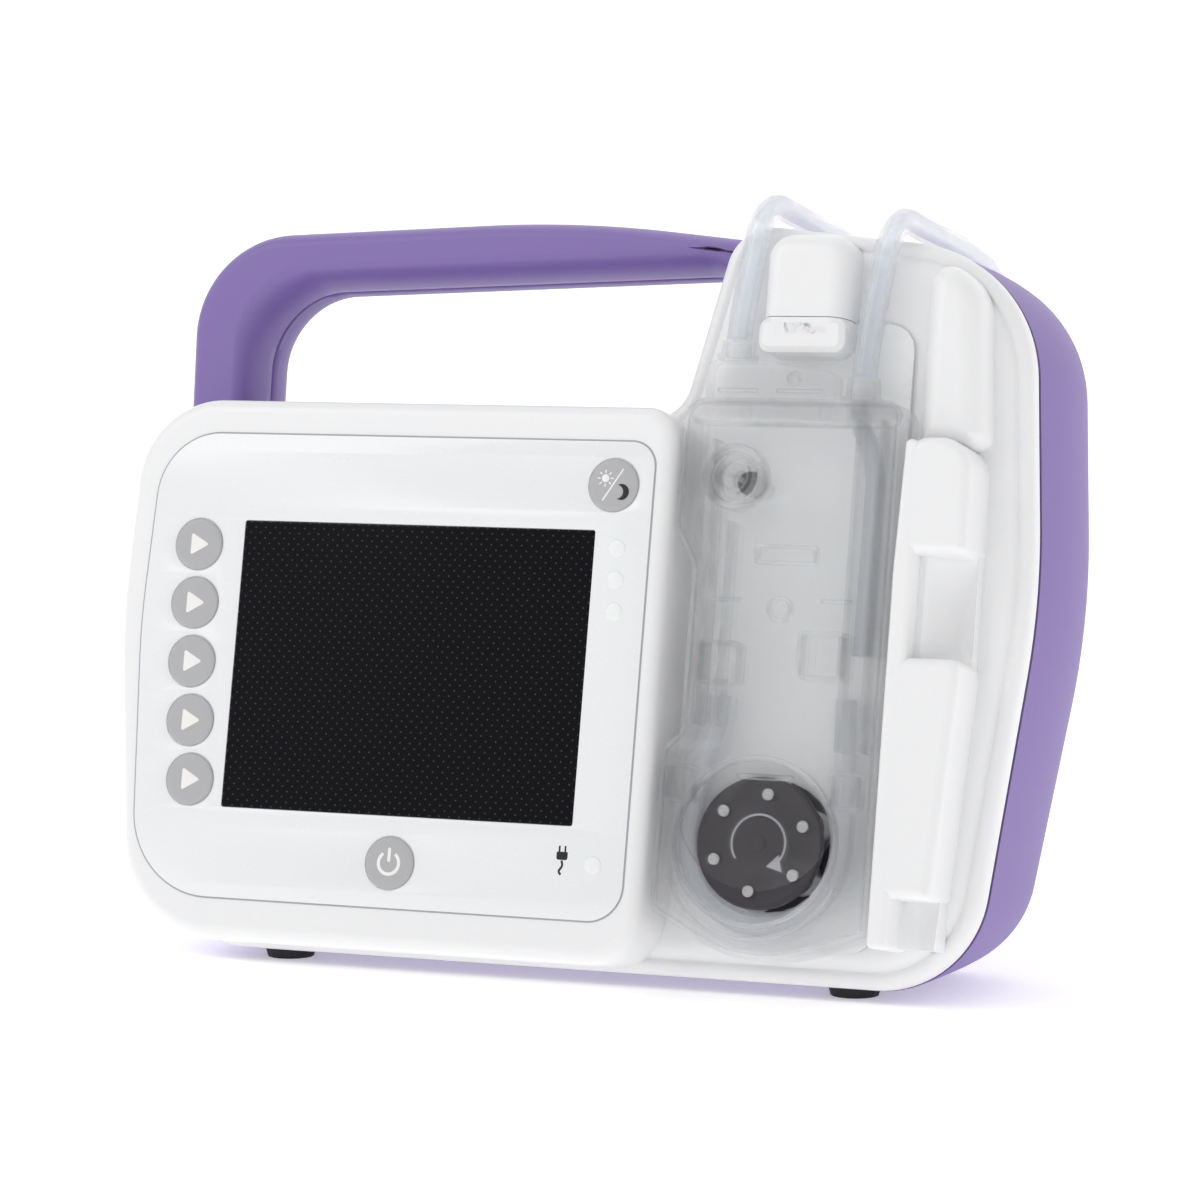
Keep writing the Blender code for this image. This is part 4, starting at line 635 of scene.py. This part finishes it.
# %% The shared outline
WIDTH, HEIGHT, DEPTH, SHOULDER = 178.8, 142.4, 60.0, 104.9
FLOOR, FRONT_BACK, REAR_START, BACK_START = 15.2, 20.6, 22.0, 44.0
DISPLAY_RIGHT, BAY_RIGHT, WAIST_HEIGHT, WAIST_R = 112.5, 156.1, 60.6, 150
FACE, HUMP_FACE, GRIP_FACE, SUNK = 0.25, 7.0, 2.0, 16.2
FINE = {"arc": 20, "run": 10}


def rear_inset(y):
    """Inset of the rear shell's rounded back: a quarter ellipse 16 deep and 14 wide."""
    reach = max(0.0, (y - BACK_START) / (DEPTH - BACK_START))
    return 14.0 * (1 - math.sqrt(max(0.0, 1 - reach * reach)))


def base_inset(y):
    """Rise of the level underside's back edge: a quarter ellipse 4 deep and 3 high."""
    reach = max(0.0, (y - 56.0) / 4.0)
    return 3.0 * (1 - math.sqrt(max(0.0, 1 - reach * reach)))


def case_corners(y=0.0):
    """Corners of the case at depth y: the sides swell as half a sine wave, the underside stays level."""
    behind = max(0.0, y - REAR_START)
    swell = 2.6 * math.sin(math.pi * behind / (DEPTH - REAR_START))
    floor = behind * math.tan(LEAN) - rear_inset(y) + base_inset(y)
    return ((7.0 - swell / 4, floor, 20), (WIDTH - 8.1 + swell / 4, floor, 20),
            (WIDTH + swell, 72.6, WAIST_R),
            (WIDTH - 5 + swell, HEIGHT - 6, 27), (115.8, HEIGHT, 9), (107.0, SHOULDER, 7.5),
            (1.5 - swell, SHOULDER, 17), (-swell, WAIST_HEIGHT, WAIST_R))


def white_part(name, corners, levels, sharp=50):
    """A closed part of the white front moulding."""
    return moulded(name, corners, levels, white_abs, "housing", spacing=FINE, sharp=sharp)


# %% [markdown]
# ## The front shell
# One white moulding in the real pump. Here it is a set of closed pieces that run into each other: the slab
# with its rim groove, the raised screen block, the plateaus between the tubes, and the grip fence.

# %% The slab and its rim
slab_levels = [(FRONT_BACK, 0.0), (18.4, 0.0), (17.4, 0.25), (16.7, 0.8), (16.3, 1.6), (16.25, 2.3),
               (16.5, 2.75),
               (16.7, 3.05), (16.55, 3.4), (16.0, 3.9), (15.55, 4.6), (15.28, 5.5), (FLOOR, 6.6)]
moulded("front_slab", case_corners(), slab_levels, white_abs, "housing", spacing=FINE,
               stands_for=("front_shell",), sharp=50)

# %% The screen block
DISPLAY = ((7.6, 0.6, 20), (DISPLAY_RIGHT, 0.6, 10), (DISPLAY_RIGHT, SHOULDER - 0.6, 6),
           (2.1, SHOULDER - 0.6, 17),
           (0.6, WAIST_HEIGHT, WAIST_R))
white_part("screen_block", DISPLAY, [(17.2, 0.0)] + round_edge(FACE, 2.7, steps=9))

# %% The plateaus of the hump
centre = ((125.0, 115.6, 3), (141.8, 115.6, 3), (141.8, HEIGHT - 3.6, 5), (125.0, HEIGHT - 3.6, 5))
plateau_levels = [(SUNK, 0.0)] + round_edge(HUMP_FACE, 3.4, steps=9, depth=5.0)
SEAM, CUT_THROUGH = 122.6, (-5.0, 30.0)
centre_plateau = white_part("centre_plateau", centre, plateau_levels)
carve(centre_plateau, cutter("plateau_cut", [panel_box(100.0, 90.0, 160.0, SEAM, 0.1)], *CUT_THROUGH))
plateau_foot = white_part("plateau_foot", centre, plateau_levels)
carve(plateau_foot, cutter("foot_cut", [panel_box(100.0, SEAM - 0.15, 160.0, 160.0, 0.1)], *CUT_THROUGH))
shoulder = ((BAY_RIGHT + 0.6, 99.0, 1), (WIDTH - 9.0, 99.0, 3), (WIDTH - 11.5, HEIGHT - 12.5, 18),
            (BAY_RIGHT + 0.6, HEIGHT - 7.0, 4))
white_part("shoulder_plateau", shoulder, [(SUNK, 0.0)] + round_edge(HUMP_FACE, 4.2, steps=9, depth=6.0))

# %% [markdown]
# The grip beside the cassette is a fence with two blocks and a thumb notch between them. The notch is a
# scoop: a surface whose depth falls along a half sine, deepest in the middle, and flattens towards the
# fence.


# %% Surfaces that sink
def relief(name, x0, z0, x1, z1, depth_of, back=16.4, steps=28):
    """A white block whose front is a height field: depth_of takes shares (0 to 1) across and up, and gives
    depths in the panel."""
    u, v = np.meshgrid(np.linspace(0, 1, steps), np.linspace(0, 1, steps))
    x, z = x0 + (x1 - x0) * u, z0 + (z1 - z0) * v
    front = np.stack((x, depth_of(u, v), z), -1).reshape(-1, 3)
    rear = np.stack((x, np.full_like(x, back), z), -1).reshape(-1, 3)
    k = np.arange(steps * steps).reshape(steps, steps)
    cells = np.stack((k[:-1, :-1], k[:-1, 1:], k[1:, 1:], k[1:, :-1]), -1).reshape(-1, 4)
    rim = np.concatenate((k[0, :-1], k[:-1, -1], k[-1, :0:-1], k[:0:-1, 0]))
    after, far = np.roll(rim, -1), steps * steps
    walls = np.stack((rim, after, after + far, rim + far), -1)
    faces = np.concatenate((cells, cells[:, ::-1] + far, walls)).tolist()
    make(name, stand(np.concatenate((front, rear))), faces, white_abs, "housing", sharp=60)


# %% The grip fence and its notch
fence = ((BAY_RIGHT, 7.0, 1), (BAY_RIGHT + 3.6, 7.0, 1), (BAY_RIGHT + 3.6, 99.0, 1.5),
         (BAY_RIGHT + 0.8, 99.6, 1),
         (BAY_RIGHT, 76.0, 60))
white_part("grip_fence", fence, [(SUNK, 0.0)] + round_edge(GRIP_FACE, 0.9))
lower_block = ((BAY_RIGHT + 1.0, 16.1, 1), (BAY_RIGHT + 11.0, 16.1, 1.5), (BAY_RIGHT + 13.6, 55.0, 60),
               (BAY_RIGHT + 13.6, 59.6, 1.5), (BAY_RIGHT + 1.0, 59.6, 1))
white_part("grip_lower_block", lower_block, [(SUNK, 0.0)] + round_edge(GRIP_FACE, 1.8))
upper_block = ((BAY_RIGHT + 1.0, 78.6, 1), (BAY_RIGHT + 13.4, 78.6, 1.5), (BAY_RIGHT + 13.1, 99.9, 8),
               (BAY_RIGHT + 1.0, 99.9, 4))
white_part("grip_upper_block", upper_block, [(SUNK, 0.0)] + round_edge(GRIP_FACE, 1.8))


def notch_depth(u, v):
    """Flat near the fence, then a half-sine dip that rises to the outer shelf."""
    across = np.sin(math.pi * np.clip((u - 0.15) / 0.85, 0, 1)) ** 0.8
    return 7.0 + 6.0 * across * np.sin(math.pi * np.clip(v, 0, 1)) ** 0.35 + 5.0 * u ** 3


def recess_depth(u, v):
    """A half-sine hollow that deepens towards the lower rim."""
    return 9.5 + 4.5 * np.sin(math.pi * u) * (1 - v) ** 0.6 + 2.0 * v


relief("thumb_notch_scoop", BAY_RIGHT + 3.4, 59.0, BAY_RIGHT + 13.2, 79.2, notch_depth)
relief("lower_scoop", BAY_RIGHT + 3.4, 7.5, BAY_RIGHT + 10.5, 16.6, recess_depth)

# %% [markdown]
# ## The front sheet, keys and lamps
# The printed sheet lies in a shallow pocket with a hairline round it, a grey strip that is painted shade for
# the gap at its edge. Its window frames the screen, and each key stands in a round hole, so that it can sink
# when it is pressed.

# %% Places on the panel
SOFT_KEYS = [(16.9 + 0.15 * n * n, 75.8 - 11.3 * n) for n in range(5)]
DAY_NIGHT, POWER = (101.6, 89.2), (62.5, 16.9)
LAMPS = [(103.1 + 0.2 * n, 77.4 - 5.9 * n) for n in range(3)] + [(103.3, 18.6)]
KEY_R = 4.9
SHEET = ((8.6, 8.2, 17), (DISPLAY_RIGHT - 2.8, 8.2, 7), (DISPLAY_RIGHT - 2.8, 97.7, 5), (7.2, 97.7, 13),
         (5.6, WAIST_HEIGHT, WAIST_R))
SCREEN = (26.45, 25.75, 98.55, 80.65)
print("screen in mm:", SCREEN[2] - SCREEN[0], "by", round(SCREEN[3] - SCREEN[1], 1))

# %% The sheet
holes = [circle(at, KEY_R + 0.22) for at in SOFT_KEYS + [DAY_NIGHT, POWER]]
screen_hole = panel_box(*SCREEN, 0.4, -0.1)
plate("printed_sheet", [outline(SHEET, 0.3), screen_hole] + holes, 0.0, 0.7, film, "housing", soft=0.05,
      stands_for=("front_overlay",))
# The grey strip round the sheet is painted shade, standing in for the shadow in the gap at its edge.
plate("sheet_edge_painted_shade", [outline(SHEET, 0.0), outline(SHEET, 0.28)], 0.16, 0.6, grey_painted_shade_and_highlight, "housing",
      soft=0.02)
plate("screen_face", [panel_box(*SCREEN, 0.4)], 0.02, 0.6, screen, "housing", soft=0.05,
      stands_for=("display_window",))

# %% [markdown]
# A key is a low dome turned from a profile, with a small round at its rim. Its symbol is a thin raised
# print.


# %% Keys
def key(name, at):
    """A round key: a rim of 0.45 mm radius and a face that swells by 0.12 mm towards its middle."""
    t = np.linspace(0, math.pi / 2, 6)
    rim = [(KEY_R - 0.45 * (1 - math.cos(a)), -0.05 - 0.33 * math.sin(a)) for a in t]
    r = np.linspace(KEY_R - 0.6, 0.3, 7)
    face = [(float(v), -0.38 - 0.12 * (1 - (v / KEY_R) ** 2)) for v in r]
    turned(name + "_cap", at, [(KEY_R - 0.3, 2.2), (KEY_R, 2.0)] + rim + face, key_grey, name, sides=72,
                  stands_for=(name,), sharp=40)


def symbol(name, loops, body, finish=pale_print, front=-0.55):
    """A raised print on a key or the sheet."""
    plate(name, loops, front, front + 0.14, finish, body, soft=0.03)


def about(at, points):
    """Points given about a place."""
    return np.asarray(points, float) + at


arrow_shape = outline(((-1.5, -2.2, 0.3), (2.4, 0.0, 0.3), (-1.5, 2.2, 0.3)), arc=5, run=1)
for n, at in enumerate(SOFT_KEYS, start=1):
    key(f"soft_key_{n}", at)
    symbol(f"soft_key_{n}_arrow", [about(at, arrow_shape)], f"soft_key_{n}")

# %% The power key
key("power_key", POWER)
symbol("power_symbol", [arc_band(POWER, 1.75, 2.4, 125, 415)], "power_key")
symbol("power_symbol_bar", [about(POWER, panel_box(-0.32, 0.2, 0.32, 2.9, 0.3))], "power_key")

# %% The day and night key
key("day_night_key", DAY_NIGHT)
sun, moon = np.add(DAY_NIGHT, (-1.55, 1.2)), np.add(DAY_NIGHT, (1.75, -1.3))
symbol("sun_disc", [circle(sun, 0.75, 24)], "day_night_key")
for n in range(8):
    a = n * math.pi / 4
    ray = np.outer(np.linspace(1.0, 1.6, 4), (math.cos(a), math.sin(a))) + sun
    symbol(f"sun_ray_{n}", [ribbon(ray, 0.26)], "day_night_key")
symbol("slash", [ribbon(about(DAY_NIGHT, ((-1.9, -3.0), (0.0, 0.0), (1.9, 3.0))), 0.3)], "day_night_key")
MOON_R = 1.5
outer_arc, inner_arc = (np.radians(np.linspace(*arc)) for arc in ((60, 300, 30), (262, 98, 24)))
hollow = 0.874 * np.stack((np.cos(inner_arc), np.sin(inner_arc)), -1) + (0.62, 0)
crescent = MOON_R * np.concatenate((np.stack((np.cos(outer_arc), np.sin(outer_arc)), -1), hollow))
symbol("moon", [about(moon, crescent * (-1, 1))], "day_night_key", dark_print)

# %% The lamps and the mains mark
LAMP_R = 1.75
dome = [(LAMP_R * math.cos(a), -0.28 * math.sin(a)) for a in np.linspace(0, math.pi / 2, 7)[:-1]]
for node, at in zip(("status_light_1", "status_light_2", "status_light_3", "mains_light"), LAMPS):
    turned(node + "_lens", at, [(LAMP_R - 0.15, 1.4), (LAMP_R, 1.2)] + dome, lens, "housing", sides=40,
           stands_for=(node,), sharp=60)
PLUG = (97.1, 19.6)
mains = {"body": outline(((-1.1, -0.2, 0.4), (1.1, -0.2, 0.4), (1.1, 1.3, 0.2), (-1.1, 1.3, 0.2)), arc=5,
                         run=1),
         "left_pin": panel_box(-0.75, 1.3, -0.4, 2.4, 0.1),
         "right_pin": panel_box(0.4, 1.3, 0.75, 2.4, 0.1)}
for part_name, shape in mains.items():
    symbol("mains_mark_" + part_name, [about(PLUG, shape)], "housing", dark_print, front=-0.04)
s = np.linspace(0, 1, 24)
wave = np.stack((0.55 * np.sin(2 * math.pi * s) * s, -0.3 - 2.6 * s), -1)
symbol("mains_mark_lead", [ribbon(about(PLUG, wave), 0.42)], "housing", dark_print, front=-0.04)

# %% [markdown]
# ## The rotor
# A black acetal disc with six ground pin heads turns behind the cassette's window. A plain turning arrow,
# raised on its face, shows which way it runs. The arrow is coloured grey, a painted highlight for the light
# its raised acetal catches.

# %% The rotor's face
ROTOR = (133.0, 24.9)
face_profile = [(1.2, 7.55), (11.9, 7.55), (12.2, 7.3), (12.2, 6.5), (11.9, 6.1), (11.4, 6.0), (10.9, 6.08),
                (10.5, 6.2),
                (6.9, 6.2), (6.6, 6.05), (1.2, 6.05)]
turned("rotor_face", ROTOR, face_profile, acetal, "rotor", sides=96, stands_for=("rotor_face_plate",),
       sharp=40)
ARROW_R, TIP_R, TIP_ANGLE, ARROW_DEPTHS = 5.2, 1.86, math.radians(-46), (5.85, 6.25)
# The arrow and its tip are grey: a painted highlight on raised black acetal.
plate("rotor_arrow", [arc_band(ROTOR, ARROW_R - 0.2, ARROW_R + 0.2, -40, 215)], *ARROW_DEPTHS, grey_painted_shade_and_highlight,
      "rotor",
      soft=0.08, slot="black_acetal")
corners = TIP_ANGLE + np.radians((0, 120, 240))
tip = TIP_R * np.stack((np.cos(corners), np.sin(corners)), -1)
tip = tip + ARROW_R * np.array((math.cos(TIP_ANGLE), math.sin(TIP_ANGLE))) + ROTOR
plate("rotor_arrow_tip", [tip], *ARROW_DEPTHS, grey_painted_shade_and_highlight, "rotor", soft=0.08, slot="black_acetal")
plate("rotor_hub_cap", [circle(ROTOR, 1.5)], 5.8, 6.3, acetal, "rotor", soft=0.2)

# %% [markdown]
# ## The cassette
# The clear cassette is a thin polycarbonate tray. Only its walls and edges show, so its look comes from
# wall thickness: a rounded shell, a front plate with the rotor's window, and ribs, pockets and channels
# inside.

# %% The tray's wall and front plate
LEFT, RIGHT, TOP = DISPLAY_RIGHT + 0.6, BAY_RIGHT - 0.6, 106.7
WAIST = LEFT + 3.8
TRAY = ((LEFT + 0.6, 11.5, 2), (133.5, 1.2, 30), (RIGHT, 9.0, 2), (RIGHT, TOP, 3), (LEFT, TOP, 4.5),
        (LEFT, 82.0, 3), (WAIST, 75.0, 3), (WAIST, 44.4, 2), (LEFT + 0.6, 41.4, 2))
VALVE = (124.0, 91.8)
outside = [(13.7, 0.15)] + round_edge(3.0, 0.9)
inside = [(4.6, 1.7), (13.7, 1.35)]
wall_rows = [ring(TRAY, y, inset, **FINE) for y, inset in outside + inside]
skin("cassette_tray_wall", wall_rows, polycarbonate, "cassette", wrap_rows=True,
     stands_for=("cassette_body",), sharp=50)
plate("cassette_front_plate", [outline(TRAY, 1.0), circle(ROTOR, 15.2, 64), circle(VALVE, 4.7)], 3.05, 4.35,
      polycarbonate, "cassette", soft=0.15)


def rib(name, loops, front=2.7, back=4.9, soft=0.25):
    """A raised part of the clear moulding."""
    plate(name, loops, front, back, polycarbonate, "cassette", soft=soft)


# %% The rotor window
a = np.linspace(0, 2 * math.pi, 96, endpoint=False)
upper_limit = 6.4 * np.sin(a) + np.sqrt(15.3 ** 2 - (6.4 * np.cos(a)) ** 2)
reach = np.minimum(14.85, upper_limit)
window_shape = np.stack((ROTOR[0] + reach * np.cos(a), ROTOR[1] + reach * np.sin(a)), -1)
plate("rotor_window", [window_shape], 3.1, 4.6, clear_window, "cassette", soft=0.3,
      stands_for=("rotor_cover",))
rib("window_rim", [arc_band(ROTOR, 14.9, 15.9, 0, 359.5, 90)], 2.5, 4.9)
rib("lower_guide", [arc_band(ROTOR, 17.4, 18.1, 205, 335, 50)], 2.6, 4.8)

# %% Ribs, pockets and channels
rib("cross_rib", frame_of(129.1, 75.8, 141.2, 79.5, 0.7, 0.8))
rib("left_dash", [panel_box(120.9, 68.7, 126.8, 69.5, 0.3)])
rib("right_dash", [panel_box(142.5, 68.9, 148.3, 69.7, 0.3)])
rib("gate_boss", [circle((134.7, 67.6), 2.5, 36), circle((134.7, 67.6), 1.7, 36)])
rib("left_pocket", frame_of(119.2, 53.6, 127.0, 61.6, 0.8), 3.3, 8.5)
rib("right_pocket", frame_of(138.5, 55.0, 147.2, 64.0, 0.8), 3.3, 8.5)
rib("window_tab", [panel_box(128.9, 36.2, 139.8, 37.3, 0.4)], 2.4, 4.6)
rib("left_bracket", frame_of(115.0, 31.5, 120.6, 38.6, 0.8), 2.6, 7.0)
rib("right_bracket", frame_of(146.6, 31.5, 152.4, 38.6, 0.8), 2.6, 7.0)
for n, (x, low_end, high_end) in enumerate(((119.0, 46, 99), (122.6, 46, 84), (146.9, 42, 103),
                                            (151.4, 42, 103))):
    rib(f"channel_rail_{n + 1}", [panel_box(x, low_end, x + 0.8, high_end, 0.3)], 3.4, 9.5)
rib("valve_boss", [circle(VALVE, 6.2), circle(VALVE, 4.65)], 2.2, 6.4, soft=0.5)
knob = [(3.0, 9.6), (4.3, 9.0), (4.3, 2.6), (3.9, 1.95), (3.3, 1.8), (2.7, 2.1), (2.3, 3.2), (0.6, 3.4)]
turned("valve_knob", VALVE, knob, polycarbonate, "cassette_valve", sides=56, stands_for=("cassette_valve",),
       sharp=40)
plate("valve_knob_bar", [ribbon(about(VALVE, ((-2.3, 0.9), (0, 0), (2.3, -0.9))), 0.9)], 2.1, 3.4,
      polycarbonate,
      "cassette_valve", soft=0.2)

# %% [markdown]
# The cassette's head is a rounded bar with two seams, below a small manifold that carries the tube sockets.


# %% The head and the manifold
def lying_rod(name, x0, x1, y, z, radius, seams, sides=36):
    """A rod along X: its radius follows a quarter circle at each end, with a thin groove at each seam."""
    at_seams = [s + d for s in seams for d in (-0.35, -0.15, 0.15, 0.35)]
    x = np.unique(np.concatenate((np.linspace(x0, x1, 60), at_seams)))
    end = np.minimum(x - x0, x1 - x)
    r = radius * np.sqrt(np.clip(1 - (1 - np.clip(end / radius, 0.02, 1)) ** 2, 0, 1))
    for s in seams:
        r = r - 0.35 * (np.abs(x - s) < 0.2)
    b = np.linspace(0, 2 * math.pi, sides, endpoint=False)
    rows = np.stack((np.broadcast_to(x[:, None], (len(x), sides)), y + r[:, None] * np.cos(b),
                     z + r[:, None] * np.sin(b)), -1)
    skin(name, rows, polycarbonate, "cassette", sharp=50)


lying_rod("cassette_head", LEFT + 0.6, RIGHT - 0.6, 5.4, 104.0, 2.5, seams=(124.5, 140.0))
manifold = ((115.2, 107.0, 0.8), (140.4, 107.0, 0.8), (140.4, 112.4, 1.6), (128.5, 114.4, 1.2),
            (115.2, 114.4, 1.6))
moulded("manifold", manifold, [(13.2, 0.8), (12.8, 0.0)] + round_edge(7.2, 0.8), polycarbonate, "cassette",
        sharp=50)
rib("manifold_rib_1", [panel_box(118.0, 108.2, 126.0, 109.0, 0.3)], 6.6, 8.0)
rib("manifold_rib_2", [panel_box(129.5, 108.2, 138.5, 109.0, 0.3)], 6.6, 8.0)
rib("manifold_boss", [circle((132.8, 110.9), 1.4, 30), circle((132.8, 110.9), 0.8, 30)], 6.6, 8.0)


def socket(name, x, bottom, height, node, y=10.5, sides=44):
    """An upright tube socket with a flange, turned round an axis up the panel."""
    profile = np.array(((2.45, bottom), (3.9, bottom), (3.9, bottom + 0.9), (3.3, bottom + 1.1),
                        (3.05, bottom + height), (2.45, bottom + height)))
    b = np.linspace(0, 2 * math.pi, sides, endpoint=False)
    rows = np.stack((x + profile[:, :1] * np.cos(b), y + profile[:, :1] * np.sin(b),
                     np.broadcast_to(profile[:, 1:], (len(profile), sides))), -1)
    skin(name, rows, polycarbonate, "cassette", wrap_rows=True, stands_for=(node,), sharp=40)


socket("inlet_socket", 120.2, 114.8, 3.5, "inlet_fitting")
socket("outlet_socket", 145.3, 107.0, 4.5, "outlet_fitting")
channel = smooth_path(((145.3, 9.6, 106.0), (146.4, 9.5, 101.5), (149.0, 9.3, 95.0), (149.4, 9.2, 84.0),
                       (149.2, 9.2, 60.0)), 0.8)
skin("outlet_channel_tube", carried(channel, 1.9, 1.2, sides=20), soft_pvc, "cassette", wrap_rows=True)

# %% [markdown]
# ## The rear shell and handle
# The purple shell is carried from the parting line to the back through many depths, because its outline
# changes all the way. Its battery recess, sound slots and power opening are then cut with an exact Boolean.

# %% The rear shell
back_rise = BACK_START + (DEPTH - BACK_START) * np.sin(np.linspace(0.12, math.pi / 2, 14))
rear_depths = np.concatenate((np.linspace(REAR_START, BACK_START, 10), back_rise))
rear_rows = [ring(case_corners(REAR_START), REAR_START, 0.25, **FINE)]
rear_rows += [ring(case_corners(y), y, rear_inset(y), **FINE) for y in rear_depths]
rear_rows.append(ring(case_corners(DEPTH), DEPTH, rear_inset(DEPTH) + 0.25, **FINE))
rear = skin("rear_case", rear_rows, purple_abs, "housing", stands_for=("rear_shell",), sharp=50)
BATTERY = (20.0, 21.0, 78.0, 73.0)
BEYOND = 70.0
slots = [cutter(f"slot_cut_{n}", [panel_box(33.3 + 3.2 * n, 76.0, 34.7 + 3.2 * n, 86.0, 0.6)], 56.0, BEYOND)
         for n in range(-2, 3)]
carve(rear, cutter("recess_cut", [panel_box(*BATTERY, 2.9, -0.3)], 58.5, BEYOND),
      cutter("socket_cut", [circle((94.0, 30.0), 5.9)], 55.0, BEYOND), *slots)
print("rear shell faces:", len(rear.data.polygons))

# %% The battery cover and its grip ribs
plate("battery_lid", [panel_box(*BATTERY, 3.0)], 58.8, DEPTH, purple_abs, "housing", soft=0.4,
      stands_for=("battery_cover",))
for n in range(4):
    plate(f"lid_grip_{n + 1}", [panel_box(40.0, 66.0 - 1.8 * n, 58.0, 66.8 - 1.8 * n, 0.35)], 59.7, DEPTH,
          purple_abs,
          "housing", soft=0.12)

# %% [markdown]
# The handle is a bar with a nearly round section, parted down its middle.

# %% The handle
HANDLE = ((-2.2, SHOULDER - 5, 0.5), (11.7, SHOULDER - 5, 0.5), (10.9, 131.3, 16.5), (110.5, 135.6, 7),
          (115.3, 123.6, 0.5), (121.8, 123.6, 0.5), (121.8, HEIGHT - 1.5, 0.5), (78.0, 145.6, 250),
          (-4.2, 141.8, 29))
HANDLE_FRONT, HANDLE_BACK = 25.0, 47.0
HANDLE_MIDDLE = (HANDLE_FRONT + HANDLE_BACK) / 2
front_half = [(HANDLE_MIDDLE - 0.15, 0.35), (HANDLE_MIDDLE - 0.5, 0.0)]
front_half += round_edge(HANDLE_FRONT, 3.6, steps=10, depth=8.5)
moulded("handle_front_half", HANDLE, front_half, purple_abs, "housing", spacing=FINE,
        stands_for=("handle_front_cover",), sharp=50)
rear_half = [(2 * HANDLE_MIDDLE - y, inset) for y, inset in front_half]
moulded("handle_rear_half", HANDLE, rear_half, purple_abs, "housing", spacing=FINE, sharp=50)

# %% [markdown]
# ## The studio
# White paper that sweeps up into a wall, large soft boxes and a bright even surround, as for a catalogue.
# The paper glows a little, so that it stays white behind a white product.

# %% The paper sweep
floor_finish, tree, shader = finish_of("matt white paper sweep", "#fdfdfd", 0.95, Emission_Strength=0.35)
shader.inputs["Emission Color"].default_value = linear("#ffffff")
grain(tree, shader, per_mm=0.05, height_mm=0.02)
SWEEP_R = 0.8
bend = np.linspace(0, math.pi / 2, 16)
curve = SWEEP_R * np.stack((1 + np.sin(bend), 1 - np.cos(bend)), -1)
profile = np.concatenate(([(-3.0, 0.0)], curve, [(2 * SWEEP_R, 3.5)]))
across = np.array((-4.0, 4.0))
verts = np.stack((np.broadcast_to(across[None], (len(profile), 2)), np.repeat(profile[:, :1], 2, 1),
                  np.repeat(profile[:, 1:], 2, 1)), -1).reshape(-1, 3)
strip = [(2 * k, 2 * k + 1, 2 * k + 3, 2 * k + 2) for k in range(len(profile) - 1)]
floor_mesh = bpy.data.meshes.new("paper_sweep")
floor_mesh.from_pydata(verts.tolist(), [], strip)
floor_mesh.shade_smooth()
floor_mesh.materials.append(floor_finish)
floor = bpy.data.objects.new("paper_sweep", floor_mesh)
bpy.context.scene.collection.objects.link(floor)


# %% The lights
def soft_box(name, place, target, size, power):
    """A square area light at a place, facing a target."""
    data = bpy.data.lights.new(name, 'AREA')
    data.shape = 'SQUARE'
    data.size = size
    data.energy = power
    lamp = bpy.data.objects.new(name, data)
    lamp.location = place
    lamp.rotation_euler = (Vector(target) - Vector(place)).to_track_quat('-Z', 'Y').to_euler()
    bpy.context.scene.collection.objects.link(lamp)


MIDDLE = (0, 0, 0.07)
soft_box("key_light", (-0.8, -0.8, 1.0), MIDDLE, 0.8, 4.0)
soft_box("fill_light", (1.0, -0.7, 0.6), MIDDLE, 0.8, 0.6)
soft_box("top_light", (0.0, 0.1, 1.3), MIDDLE, 0.9, 2.0)
world = bpy.data.worlds.new("studio")
world.use_nodes = True
world.node_tree.nodes["Background"].inputs["Color"].default_value = (1, 1, 1, 1)
world.node_tree.nodes["Background"].inputs["Strength"].default_value = 0.6
bpy.context.scene.world = world
bpy.context.scene.view_settings.view_transform = 'Standard'
